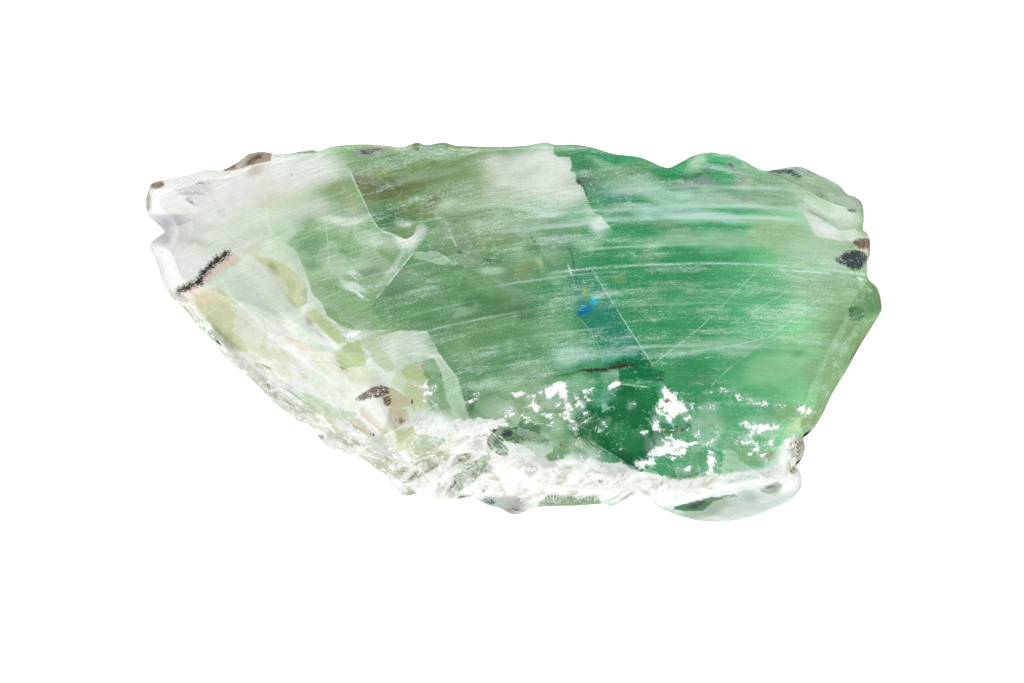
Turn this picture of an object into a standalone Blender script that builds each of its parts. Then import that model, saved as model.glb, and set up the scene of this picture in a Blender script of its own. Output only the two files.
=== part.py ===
"""A broken slab of green chrysoberyl crystal, lying flat on its underside.

The stone is one solid: a loft whose sections run from the flat underside, up the broken
wall, over the rim and across the upper face. Lengths below are millimetres until the mesh
is made, which is in metres. +X runs along the slab, +Y across it, +Z up out of the face.
The origin is the centre of the stone's box, on the plane that it rests on.
"""

import itertools

import bpy
import numpy as np

MM = 0.001

# Driving sizes
FACE_HEIGHT = 12.0  # from the underside to the flat upper face
SHOULDER_POWER = 0.62  # below 1 the edge falls gently at first and steeply at the rim
BASE_INSET = 1.1  # how far the underside stands in from the widest outline
BASE_INSET_WANDER = 0.8

# Mesh counts
COLUMNS = 78
ROWS = 32
WALL_STEPS = 6

# The widest outline, seen from above and taken clockwise. Each stretch starts at a corner of
# the stone and ends where the next one starts.
LEFT_END = [
    (-27.6, 3.0), (-28.3, 4.4), (-28.5, 5.2), (-29.1, 6.6), (-29.15, 7.1), (-28.6, 7.6),
    (-28.05, 8.05), (-28.6, 8.7), (-29.25, 9.3), (-29.5, 10.1), (-29.35, 11.2),
]
TOP_EDGE = [
    (-29.0, 11.9), (-28.3, 12.15), (-26.5, 12.5), (-24.6, 13.0), (-23.3, 13.0), (-22.1, 13.6),
    (-21.3, 14.2), (-20.4, 14.42), (-19.6, 14.38), (-19.1, 14.25), (-17.9, 14.3), (-16.2, 14.62),
    (-15.6, 14.5), (-14.5, 14.85), (-12.2, 15.03), (-10.0, 14.92), (-8.9, 14.8), (-7.7, 15.17),
    (-7.0, 14.96), (-5.6, 15.17), (-4.6, 14.93), (-1.0, 14.83), (1.0, 14.92), (2.5, 15.17),
    (3.5, 14.98), (5.0, 15.0), (6.6, 14.7), (8.0, 14.27), (10.2, 13.97), (12.3, 13.15),
    (13.3, 13.55), (14.6, 14.2), (16.0, 14.4), (16.7, 14.25), (17.4, 14.22), (18.5, 13.7),
    (20.1, 12.95), (22.0, 13.2), (23.0, 13.25), (24.3, 12.7), (26.1, 11.8), (26.8, 11.05),
    (27.5, 10.8),
]
RIGHT_SIDE = [
    (28.0, 10.3), (28.12, 9.0), (28.06, 8.2), (28.55, 7.6), (28.6, 6.2), (28.4, 5.6),
    (28.5, 4.3), (29.25, 3.5), (29.6, 2.0), (29.35, 1.3), (27.8, -1.2), (27.0, -2.7),
    (25.6, -5.0), (24.7, -6.9), (23.9, -7.95), (23.35, -8.35), (23.42, -9.3), (23.15, -10.2),
    (22.75, -10.6), (23.1, -11.4),
]
LOWER_EDGE = [
    (23.1, -12.5), (22.3, -13.45), (20.6, -14.3), (18.6, -15.0), (15.8, -15.25), (13.4, -14.8),
    (11.6, -14.0), (10.2, -13.0), (9.6, -13.15), (7.9, -13.98), (7.3, -13.82), (5.0, -13.95),
    (2.0, -14.05), (0.9, -14.45), (0.0, -14.65), (-1.1, -14.15), (-2.0, -13.93), (-3.4, -13.3),
    (-4.4, -13.5), (-5.1, -13.4), (-6.3, -13.6), (-7.3, -12.95), (-8.7, -13.15), (-9.4, -12.6),
    (-10.2, -11.5), (-11.0, -11.0), (-12.5, -10.05), (-14.6, -9.4), (-15.5, -8.6), (-16.1, -7.7),
    (-17.6, -7.0), (-19.2, -5.7), (-21.0, -3.9), (-23.0, -2.1), (-24.1, -0.8), (-25.3, 0.4),
    (-26.4, 1.8),
]

# How the face falls to the rim along each stretch: share of the stretch, rim height, and the
# width over which it falls.
LEFT_PROFILE = [(0.0, 3.6, 1.5), (0.35, 4.6, 1.6), (0.6, 5.0, 1.2), (1.0, 6.0, 1.1)]
TOP_PROFILE = [
    (0.0, 6.0, 1.1), (0.1, 8.0, 0.8), (0.14, 9.4, 1.3), (0.2, 9.8, 0.6), (0.5, 10.4, 0.5),
    (0.68, 10.0, 0.6), (0.78, 9.0, 1.1), (0.86, 8.4, 1.5), (0.93, 7.2, 3.2), (1.0, 6.0, 3.0),
]
RIGHT_PROFILE = [
    (0.0, 6.0, 3.0), (0.1, 6.2, 1.5), (0.25, 5.0, 0.9), (0.33, 3.0, 2.0), (0.5, 2.6, 2.5),
    (0.68, 2.6, 1.9), (0.8, 3.2, 1.7), (0.9, 2.6, 3.0), (1.0, 2.0, 4.5),
]
LOWER_PROFILE = [
    (0.0, 2.0, 4.5), (0.12, 1.6, 7.2), (0.22, 2.6, 9.0), (0.35, 3.2, 10.5), (0.5, 3.0, 9.0),
    (0.62, 3.0, 8.5), (0.75, 3.2, 8.0), (0.88, 3.6, 6.5), (1.0, 3.6, 1.5),
]
STRETCHES = (
    (LEFT_END, LEFT_PROFILE, ROWS),
    (TOP_EDGE, TOP_PROFILE, COLUMNS),
    (RIGHT_SIDE, RIGHT_PROFILE, ROWS),
    (LOWER_EDGE, LOWER_PROFILE, COLUMNS),
)

# Ridges left standing on the broken slopes: two ends, half width, height.
RIDGES = [
    ((-6.6, -13.3), (-4.3, -7.6), 1.3, 1.5),
    ((-3.4, -13.0), (-1.6, -9.2), 1.2, 1.1),
    ((-10.6, -10.6), (-5.0, -10.2), 1.5, -0.9),
    ((-11.5, -4.4), (-9.4, -8.2), 1.3, 1.0),
    ((0.4, -14.3), (1.4, -11.2), 1.3, 0.9),
    ((7.6, -13.6), (9.2, -10.8), 1.2, 1.0),
    ((11.2, -13.0), (20.8, -11.6), 1.1, 1.0),
    ((10.6, -10.4), (14.4, -8.4), 1.0, 0.7),
]
# Scoops that the breaks left: centre, radius, depth.
SCOOPS = [
    ((8.2, -7.4), 4.2, 1.3),
    ((17.5, -9.2), 3.0, 0.8),
    ((2.0, -8.6), 2.4, 0.7),
    ((-14.0, -4.8), 3.0, 0.6),
    ((16.2, -13.9), 3.2, 0.5),
    ((-27.2, 8.2), 1.6, 1.4),
]
# Cleavage steps across the lower left slope, each dropping towards the edge: two ends, drop.
STEPS = [
    ((-26.8, 3.0), (-22.4, 6.8), 0.5),
    ((-21.0, 6.2), (-11.5, -4.0), 0.5),
    ((-24.0, 3.2), (-13.4, -4.8), 0.45),
]
STEP_WIDTH = 0.5

# Broken relief: size of the chips, height of the chips, seed.
COARSE_CHIPS = (4.2, 1.15, 11)
FINE_CHIPS = (1.9, 0.42, 23)
FACE_SWELL = (9.0, 0.18, 5)


def scattered(cell, channel):
    """A number from 0 to 1 for each lattice cell, the same in every run."""
    words = cell.astype(np.int64).astype(np.uint32)
    mixed = words[..., 0] * np.uint32(374761393) + words[..., 1] * np.uint32(668265263)
    mixed += words[..., 2] * np.uint32(2246822519) + np.uint32(channel * 3266489917 % 2**32)
    mixed = (mixed ^ (mixed >> np.uint32(13))) * np.uint32(1274126177)
    return (mixed ^ (mixed >> np.uint32(16))) / 2.0**32


def chipped(points, size, height, seed):
    """Depth of a broken surface: the lowest of the shallow bowls about scattered centres.

    Each centre has its own tilt, so neighbouring bowls meet in sharp ridges."""
    scaled = points / size
    cell = np.floor(scaled)
    lowest = np.full(points.shape[:-1], np.inf)
    for step in itertools.product((-1, 0, 1), repeat=3):
        near = cell + step
        centre = near + np.stack([scattered(near, seed + k) for k in range(3)], -1)
        tilt = np.stack([scattered(near, seed + 3 + k) for k in range(3)], -1) - 0.5
        away = scaled - centre
        bowl = (away * tilt).sum(-1) * 1.2 + (away * away).sum(-1) + scattered(near, seed + 6) * 0.5
        lowest = np.minimum(lowest, bowl)
    return (lowest - 0.45) * height


def swell(points, size, height, seed):
    """Smooth rise and fall: lattice values blended with an eased weight along each axis."""
    scaled = points / size
    cell = np.floor(scaled)
    ease = (scaled - cell) ** 2 * (3 - 2 * (scaled - cell))
    total = 0.0
    for corner in itertools.product((0, 1), repeat=3):
        weight = np.prod(np.where(corner, ease, 1 - ease), axis=-1)
        total = total + weight * scattered(cell + corner, seed)
    return (total - 0.5) * 2 * height


def outline():
    """The loop of outline points, each stretch evenly divided, with rim heights and widths.

    The curve through the points is a cubic whose tangent at each one follows its neighbours."""
    corners = np.array([point for points, _, _ in STRETCHES for point in points])
    ahead, behind = np.roll(corners, -1, 0), np.roll(corners, 1, 0)
    chord = np.linalg.norm(ahead - corners, axis=1)[:, None]
    tangent = (ahead - behind) / (chord + np.roll(chord, 1, 0))
    t = np.linspace(0, 1, 16, endpoint=False)[None, :, None]
    start, end = corners[:, None], ahead[:, None]
    leave, arrive = (tangent * chord)[:, None], (np.roll(tangent, -1, 0) * chord)[:, None]
    curve = (
        start * (1 + 2 * t) * (1 - t) ** 2
        + leave * t * (1 - t) ** 2
        + end * t**2 * (3 - 2 * t)
        + arrive * t**2 * (t - 1)
    ).reshape(-1, 2)
    closed = np.vstack([curve, curve[:1]])
    run = np.concatenate([[0], np.cumsum(np.linalg.norm(np.diff(closed, axis=0), axis=1))])
    loop, rim, width, first = [], [], [], 0
    for points, profile, count in STRETCHES:
        last = first + len(points) * 16
        share = np.linspace(0, 1, count, endpoint=False)
        along = run[first] + share * (run[last] - run[first])
        loop.append(np.stack([np.interp(along, run, closed[:, k]) for k in range(2)], -1))
        at, heights, widths = np.array(profile).T
        rim.append(np.interp(share, at, heights))
        width.append(np.interp(share, at, widths))
        first = last
    return np.vstack(loop), np.concatenate(rim), np.concatenate(width)


def face_grid(loop):
    """Points inside the loop on ROWS + 1 by COLUMNS + 1, blended from its four sides.

    Each point is the mean that the two pairs of facing sides give, less what the corners give."""
    left = loop[: ROWS + 1]
    top = loop[ROWS : ROWS + COLUMNS + 1]
    right = loop[ROWS + COLUMNS : 2 * ROWS + COLUMNS + 1][::-1]
    lower = np.vstack([loop[2 * ROWS + COLUMNS :], loop[:1]])[::-1]
    u = np.linspace(0, 1, COLUMNS + 1)[None, :, None]
    v = np.linspace(0, 1, ROWS + 1)[:, None, None]
    across = (1 - u) * left[:, None] + u * right[:, None]
    along = (1 - v) * lower[None] + v * top[None]
    corner = (1 - v) * ((1 - u) * lower[0] + u * lower[-1]) + v * ((1 - u) * top[0] + u * top[-1])
    return across + along - corner


def from_edge(points, loop, rim, width):
    """How far inside the outline each point is, with the rim height and fall width there.

    The height and the width are means over the loop, weighted by the fourth power of nearness."""
    away = np.linalg.norm(points[..., None, :] - loop, axis=-1)
    weight = 1 / (away + 0.02) ** 4
    weight /= weight.sum(-1, keepdims=True)
    return away.min(-1), weight @ rim, weight @ width


def along_line(points, start, end):
    """Each point's share of the way from start to end, and its distance to the left of the line."""
    start, end = np.array(start), np.array(end)
    way = end - start
    length = np.hypot(*way)
    away = points - start
    return away @ way / length**2, (away @ np.array([-way[1], way[0]])) / length


def eased(value):
    value = np.clip(value, 0, 1)
    return value * value * (3 - 2 * value)


def face_height(points, loop, rim, width):
    """Height of the upper face and of the broken slopes round it."""
    inside, rim_near, width_near = from_edge(points, loop, rim, width)
    fall = np.clip(inside / width_near, 0, 1)
    height = rim_near + (FACE_HEIGHT - rim_near) * fall**SHOULDER_POWER
    slope = 1 - eased((fall - 0.72) / 0.28)
    carved = slope * eased(inside / 1.2)
    solid = np.concatenate([points, np.zeros(points.shape[:-1] + (1,))], -1)
    height += carved * (chipped(solid, *COARSE_CHIPS) + chipped(solid, *FINE_CHIPS))
    for start, end, half_width, rise in RIDGES:
        share, left = along_line(points, start, end)
        beyond = np.abs(share - np.clip(share, 0, 1)) * np.hypot(*np.subtract(end, start))
        tent = np.clip(1 - np.hypot(left, beyond) / half_width, 0, 1)
        height += rise * tent * eased(inside / 0.8)
    for centre, radius, depth in SCOOPS:
        reach = np.linalg.norm(points - np.array(centre), axis=-1) / radius
        height -= depth * np.clip(1 - reach**2, 0, 1) * eased(inside / 1.0)
    for start, end, drop in STEPS:
        share, left = along_line(points, start, end)
        ends = eased(share / 0.15) * eased((1 - share) / 0.15)
        height -= drop * ends * eased(0.5 - left / STEP_WIDTH) * eased(inside / 1.5)
    height += swell(solid, *FACE_SWELL) * eased(inside / 1.5)
    return np.minimum(height, FACE_HEIGHT)


def wall_rings(loop, rim):
    """The rings of the broken wall, from just under the rim down to the underside."""
    inward = np.roll(loop, -1, 0) - np.roll(loop, 1, 0)
    inward = np.stack([inward[:, 1], -inward[:, 0]], -1)
    for _ in range(6):
        inward = (np.roll(inward, 1, 0) + inward + np.roll(inward, -1, 0)) / 3
    inward /= np.linalg.norm(inward, axis=1)[:, None]
    on_rim = np.column_stack([loop, rim])
    inset = BASE_INSET + swell(on_rim, 6.0, BASE_INSET_WANDER, 31)
    rings = []
    for share in np.linspace(0, 1, WALL_STEPS + 1)[1:]:
        ring = np.column_stack([loop, rim * (1 - share)])
        held = np.sin(np.pi * share) ** 0.5 if share < 1 else 0.0
        chips = np.clip(0.35 + chipped(ring, *COARSE_CHIPS) * 0.6, 0, None) * held
        ring[:, :2] += inward * (inset * share**2.2 + chips)[:, None]
        rings.append(ring)
    return rings


def stone_mesh():
    """Rim, face, wall and underside as one closed mesh."""
    loop, rim, width = outline()
    centre = (loop.min(0) + loop.max(0)) / 2
    flat = face_grid(loop)
    face = np.dstack([flat, face_height(flat, loop, rim, width)])
    per_row = COLUMNS + 1
    index = np.arange((ROWS + 1) * per_row).reshape(ROWS + 1, per_row)
    quads = [np.stack([index[:-1, :-1], index[:-1, 1:], index[1:, 1:], index[1:, :-1]], -1)]
    upper = np.concatenate([index[:-1, 0], index[-1, :-1], index[:0:-1, -1], index[0, :0:-1]])
    points = [face.reshape(-1, 3)]
    used = index.size
    for ring in wall_rings(loop, face.reshape(-1, 3)[upper][:, 2]):
        lower = used + np.arange(len(loop))
        quads.append(np.stack([upper, lower, np.roll(lower, -1), np.roll(upper, -1)], -1)[:, ::-1])
        points.append(ring)
        used += len(loop)
        upper = lower
    points.append(np.array([[0.0, 0.0, 0.0]]))
    fan = np.stack([upper, np.full(len(loop), used), np.roll(upper, -1)], -1)[:, ::-1]
    vertices = np.vstack(points)
    vertices[:, :2] -= centre
    faces = [quad.tolist() for block in quads for quad in block.reshape(-1, 4)] + fan.tolist()
    mesh = bpy.data.meshes.new("crystal")
    mesh.from_pydata((vertices * MM).tolist(), [], faces)
    mesh.validate()
    return mesh


def stone_material():
    """Milky green crystal with a soft gloss."""
    material = bpy.data.materials.new("green_crystal")
    material.use_nodes = True
    shader = material.node_tree.nodes["Principled BSDF"]
    shader.inputs["Base Color"].default_value = (0.16, 0.42, 0.2, 1)
    shader.inputs["Roughness"].default_value = 0.3
    shader.inputs["Metallic"].default_value = 0.0
    return material


def main():
    for old in list(bpy.data.objects):
        bpy.data.objects.remove(old)
    collection = bpy.data.collections.new("chrysoberyl_crystal")
    bpy.context.scene.collection.children.link(collection)
    crystal = bpy.data.objects.new("crystal", stone_mesh())
    crystal.data.materials.append(stone_material())
    collection.objects.link(crystal)


main()
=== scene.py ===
"""The look of a broken slab of milky green chrysoberyl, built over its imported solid.

The stone lies on its flat underside and is seen from straight above. Lengths in the numbers
below are millimetres, measured across the stone from a point near the middle of its face:
+X towards the greener end, +Y towards the straighter side. They become metres in the mesh.
"""

import itertools
import math

import bpy
import numpy as np
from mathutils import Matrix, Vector


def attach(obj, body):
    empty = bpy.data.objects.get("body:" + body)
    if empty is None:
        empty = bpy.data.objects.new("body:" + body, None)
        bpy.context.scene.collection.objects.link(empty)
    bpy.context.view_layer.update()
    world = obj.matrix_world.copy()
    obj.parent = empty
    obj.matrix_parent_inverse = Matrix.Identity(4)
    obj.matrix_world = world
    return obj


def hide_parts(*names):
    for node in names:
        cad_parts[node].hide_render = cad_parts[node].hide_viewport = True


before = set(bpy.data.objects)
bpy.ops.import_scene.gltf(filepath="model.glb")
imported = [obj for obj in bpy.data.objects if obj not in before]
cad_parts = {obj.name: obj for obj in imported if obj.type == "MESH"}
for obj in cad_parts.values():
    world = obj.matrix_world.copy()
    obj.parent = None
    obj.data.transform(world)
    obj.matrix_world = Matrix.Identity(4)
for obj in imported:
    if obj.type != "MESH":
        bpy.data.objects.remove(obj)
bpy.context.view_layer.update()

MM = 0.001

# ---------------------------------------------------------------- the stone's sizes
FACE_HEIGHT = 12.0  # from the underside to the flat upper face
SHOULDER_POWER = 0.62  # below 1 the edge falls gently at first and steeply at the rim
BASE_INSET = 1.1  # how far the underside stands in from the widest outline
BASE_INSET_WANDER = 0.8

COLUMNS = 384
ROWS = 172
WALL_STEPS = 18
BASE_RINGS = 4

# The widest outline, seen from above and taken clockwise. Each stretch starts at a corner of
# the stone and ends where the next one starts.
LEFT_END = [
    (-27.6, 3.0), (-28.3, 4.4), (-28.5, 5.2), (-29.1, 6.6), (-29.15, 7.1), (-28.6, 7.6),
    (-28.05, 8.05), (-28.6, 8.7), (-29.25, 9.3), (-29.5, 10.1), (-29.35, 11.2),
]
TOP_EDGE = [
    (-29.0, 11.9), (-28.3, 12.15), (-26.5, 12.5), (-24.6, 13.0), (-23.3, 13.0), (-22.1, 13.6),
    (-21.3, 14.2), (-20.4, 14.42), (-19.6, 14.38), (-19.1, 14.25), (-17.9, 14.3), (-16.2, 14.62),
    (-15.6, 14.5), (-14.5, 14.85), (-12.2, 15.03), (-10.0, 14.92), (-8.9, 14.8), (-7.7, 15.17),
    (-7.0, 14.96), (-5.6, 15.17), (-4.6, 14.93), (-1.0, 14.83), (1.0, 14.92), (2.5, 15.17),
    (3.5, 14.98), (5.0, 15.0), (6.6, 14.7), (8.0, 14.27), (10.2, 13.97), (12.3, 13.15),
    (13.3, 13.55), (14.6, 14.2), (16.0, 14.4), (16.7, 14.25), (17.4, 14.22), (18.5, 13.7),
    (20.1, 12.95), (22.0, 13.2), (23.0, 13.25), (24.3, 12.7), (26.1, 11.8), (26.8, 11.05),
    (27.5, 10.8),
]
RIGHT_SIDE = [
    (28.0, 10.3), (28.12, 9.0), (28.06, 8.2), (28.55, 7.6), (28.6, 6.2), (28.4, 5.6),
    (28.5, 4.3), (29.25, 3.5), (29.6, 2.0), (29.35, 1.3), (27.8, -1.2), (27.0, -2.7),
    (25.6, -5.0), (24.7, -6.9), (23.9, -7.95), (23.35, -8.35), (23.42, -9.3), (23.15, -10.2),
    (22.75, -10.6), (23.1, -11.4),
]
LOWER_EDGE = [
    (23.1, -12.5), (22.3, -13.45), (20.6, -14.3), (18.6, -15.0), (15.8, -15.25), (13.4, -14.8),
    (11.6, -14.0), (10.2, -13.0), (9.6, -13.15), (7.9, -13.98), (7.3, -13.82), (5.0, -13.95),
    (2.0, -14.05), (0.9, -14.45), (0.0, -14.65), (-1.1, -14.15), (-2.0, -13.93), (-3.4, -13.3),
    (-4.4, -13.5), (-5.1, -13.4), (-6.3, -13.6), (-7.3, -12.95), (-8.7, -13.15), (-9.4, -12.6),
    (-10.2, -11.5), (-11.0, -11.0), (-12.5, -10.05), (-14.6, -9.4), (-15.5, -8.6), (-16.1, -7.7),
    (-17.6, -7.0), (-19.2, -5.7), (-21.0, -3.9), (-23.0, -2.1), (-24.1, -0.8), (-25.3, 0.4),
    (-26.4, 1.8),
]
# How the face falls to the rim along each stretch: share of the stretch, rim height, and the
# width over which it falls.
LEFT_PROFILE = [(0.0, 3.6, 1.5), (0.35, 4.6, 1.6), (0.6, 5.0, 1.2), (1.0, 6.0, 1.1)]
TOP_PROFILE = [
    (0.0, 6.0, 1.1), (0.1, 8.0, 0.8), (0.14, 9.4, 1.3), (0.2, 9.8, 0.6), (0.5, 10.4, 0.5),
    (0.68, 10.0, 0.6), (0.78, 9.0, 1.1), (0.86, 8.4, 1.5), (0.93, 7.2, 3.2), (1.0, 6.0, 3.0),
]
RIGHT_PROFILE = [
    (0.0, 6.0, 3.0), (0.1, 6.2, 1.5), (0.25, 5.0, 0.9), (0.33, 3.0, 2.0), (0.5, 2.6, 2.5),
    (0.68, 2.6, 1.9), (0.8, 3.2, 1.7), (0.9, 2.6, 3.0), (1.0, 2.0, 4.5),
]
LOWER_PROFILE = [
    (0.0, 2.0, 4.5), (0.12, 1.6, 7.2), (0.22, 2.6, 9.0), (0.35, 3.2, 10.5), (0.5, 3.0, 9.0),
    (0.62, 3.0, 8.5), (0.75, 3.2, 8.0), (0.88, 3.6, 6.5), (1.0, 3.6, 1.5),
]
STRETCHES = (
    (LEFT_END, LEFT_PROFILE, ROWS),
    (TOP_EDGE, TOP_PROFILE, COLUMNS),
    (RIGHT_SIDE, RIGHT_PROFILE, ROWS),
    (LOWER_EDGE, LOWER_PROFILE, COLUMNS),
)

# Ridges left standing on the broken slopes: two ends, half width, height.
RIDGES = [
    ((-6.6, -13.3), (-4.3, -7.6), 1.3, 1.5),
    ((-3.4, -13.0), (-1.6, -9.2), 1.2, 1.1),
    ((-10.6, -10.6), (-5.0, -10.2), 1.5, -0.9),
    ((-11.5, -4.4), (-9.4, -8.2), 1.3, 1.0),
    ((0.4, -14.3), (1.4, -11.2), 1.3, 0.9),
    ((7.6, -13.6), (9.2, -10.8), 1.2, 1.0),
    ((11.2, -13.0), (20.8, -11.6), 1.1, 1.0),
    ((10.6, -10.4), (14.4, -8.4), 1.0, 0.7),
]
# Scoops that the breaks left: centre, radius, depth.
SCOOPS = [
    ((8.2, -7.4), 4.2, 1.3),
    ((17.5, -9.2), 3.0, 0.8),
    ((2.0, -8.6), 2.4, 0.7),
    ((-14.0, -4.8), 3.0, 0.6),
    ((16.2, -13.9), 3.2, 0.5),
    ((-27.2, 8.2), 1.6, 1.4),
]
# Cleavage steps across the lower left slope, each dropping towards the edge: two ends, drop.
STEPS = [
    ((-26.8, 3.0), (-22.4, 6.8), 0.5),
    ((-21.0, 6.2), (-11.5, -4.0), 0.5),
    ((-24.0, 3.2), (-13.4, -4.8), 0.45),
]
STEP_WIDTH = 0.5

# Broken relief: size of the chips, height of the chips, seed.
COARSE_CHIPS = (4.2, 1.15, 11)
FINE_CHIPS = (1.9, 0.42, 23)
SMALL_CHIPS = (0.8, 0.16, 47)
CRUMB_CHIPS = (0.38, 0.07, 61)
FACE_SWELL = (9.0, 0.18, 5)

# ---------------------------------------------------------------- tones and zones
# Screen values of red, green and blue from 0 to 255.
TONES = {
    "white": (252, 252, 250),
    "silk": (208, 236, 224),
    # shade is painted shade on the facets, blocks, creases and hollows of the broken ground
    "shade": (160, 164, 140),
    "rim": (140, 136, 118),
    "frost": (238, 242, 238),
    "milk": (229, 232, 228),
    "lavender": (218, 214, 222),
    "pale_mint": (214, 228, 208),
    "mint": (184, 212, 186),
    "pale_leaf": (160, 200, 160),
    "leaf": (134, 172, 122),
    "sage": (146, 174, 146),
    "olive_sage": (140, 162, 126),
    "grass": (102, 150, 104),
    "forest": (76, 124, 80),
    "moss": (122, 150, 98),
    "emerald": (60, 148, 96),
    "bright_emerald": (84, 172, 116),
    "glow": (142, 214, 154),
    "teal": (44, 134, 108),
    "pale_teal": (168, 206, 194),
    "deep_emerald": (8, 108, 60),
    "ash_mint": (214, 229, 220),
    "olive": (142, 158, 108),
    "dark_olive": (104, 112, 74),
    "straw": (202, 210, 164),
    # khaki is partly the stone's own tone and partly painted shade over the broken band
    "khaki": (176, 176, 138),
    "tan": (204, 192, 166),
    "rose_tan": (222, 206, 194),
    "bark": (152, 134, 118),
    "slate": (108, 138, 136),
    "grey": (156, 160, 154),
    "brown": (98, 72, 50),
    "cyan": (0, 186, 204),
    "blue": (16, 112, 170),
    "lime": (112, 164, 60),
}

# The broad run of tone along the face, from the pale end to the green end: x, tone.
RUN_OF_TONE = [
    (-29.0, "milk"), (-22.0, "milk"), (-18.5, "mint"), (-15.5, "leaf"), (-11.0, "leaf"),
    (-7.0, "grass"), (1.0, "grass"), (7.0, "emerald"), (14.0, "emerald"),
    (18.0, "bright_emerald"), (23.0, "glow"), (26.0, "leaf"), (29.5, "leaf"),
]

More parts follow.
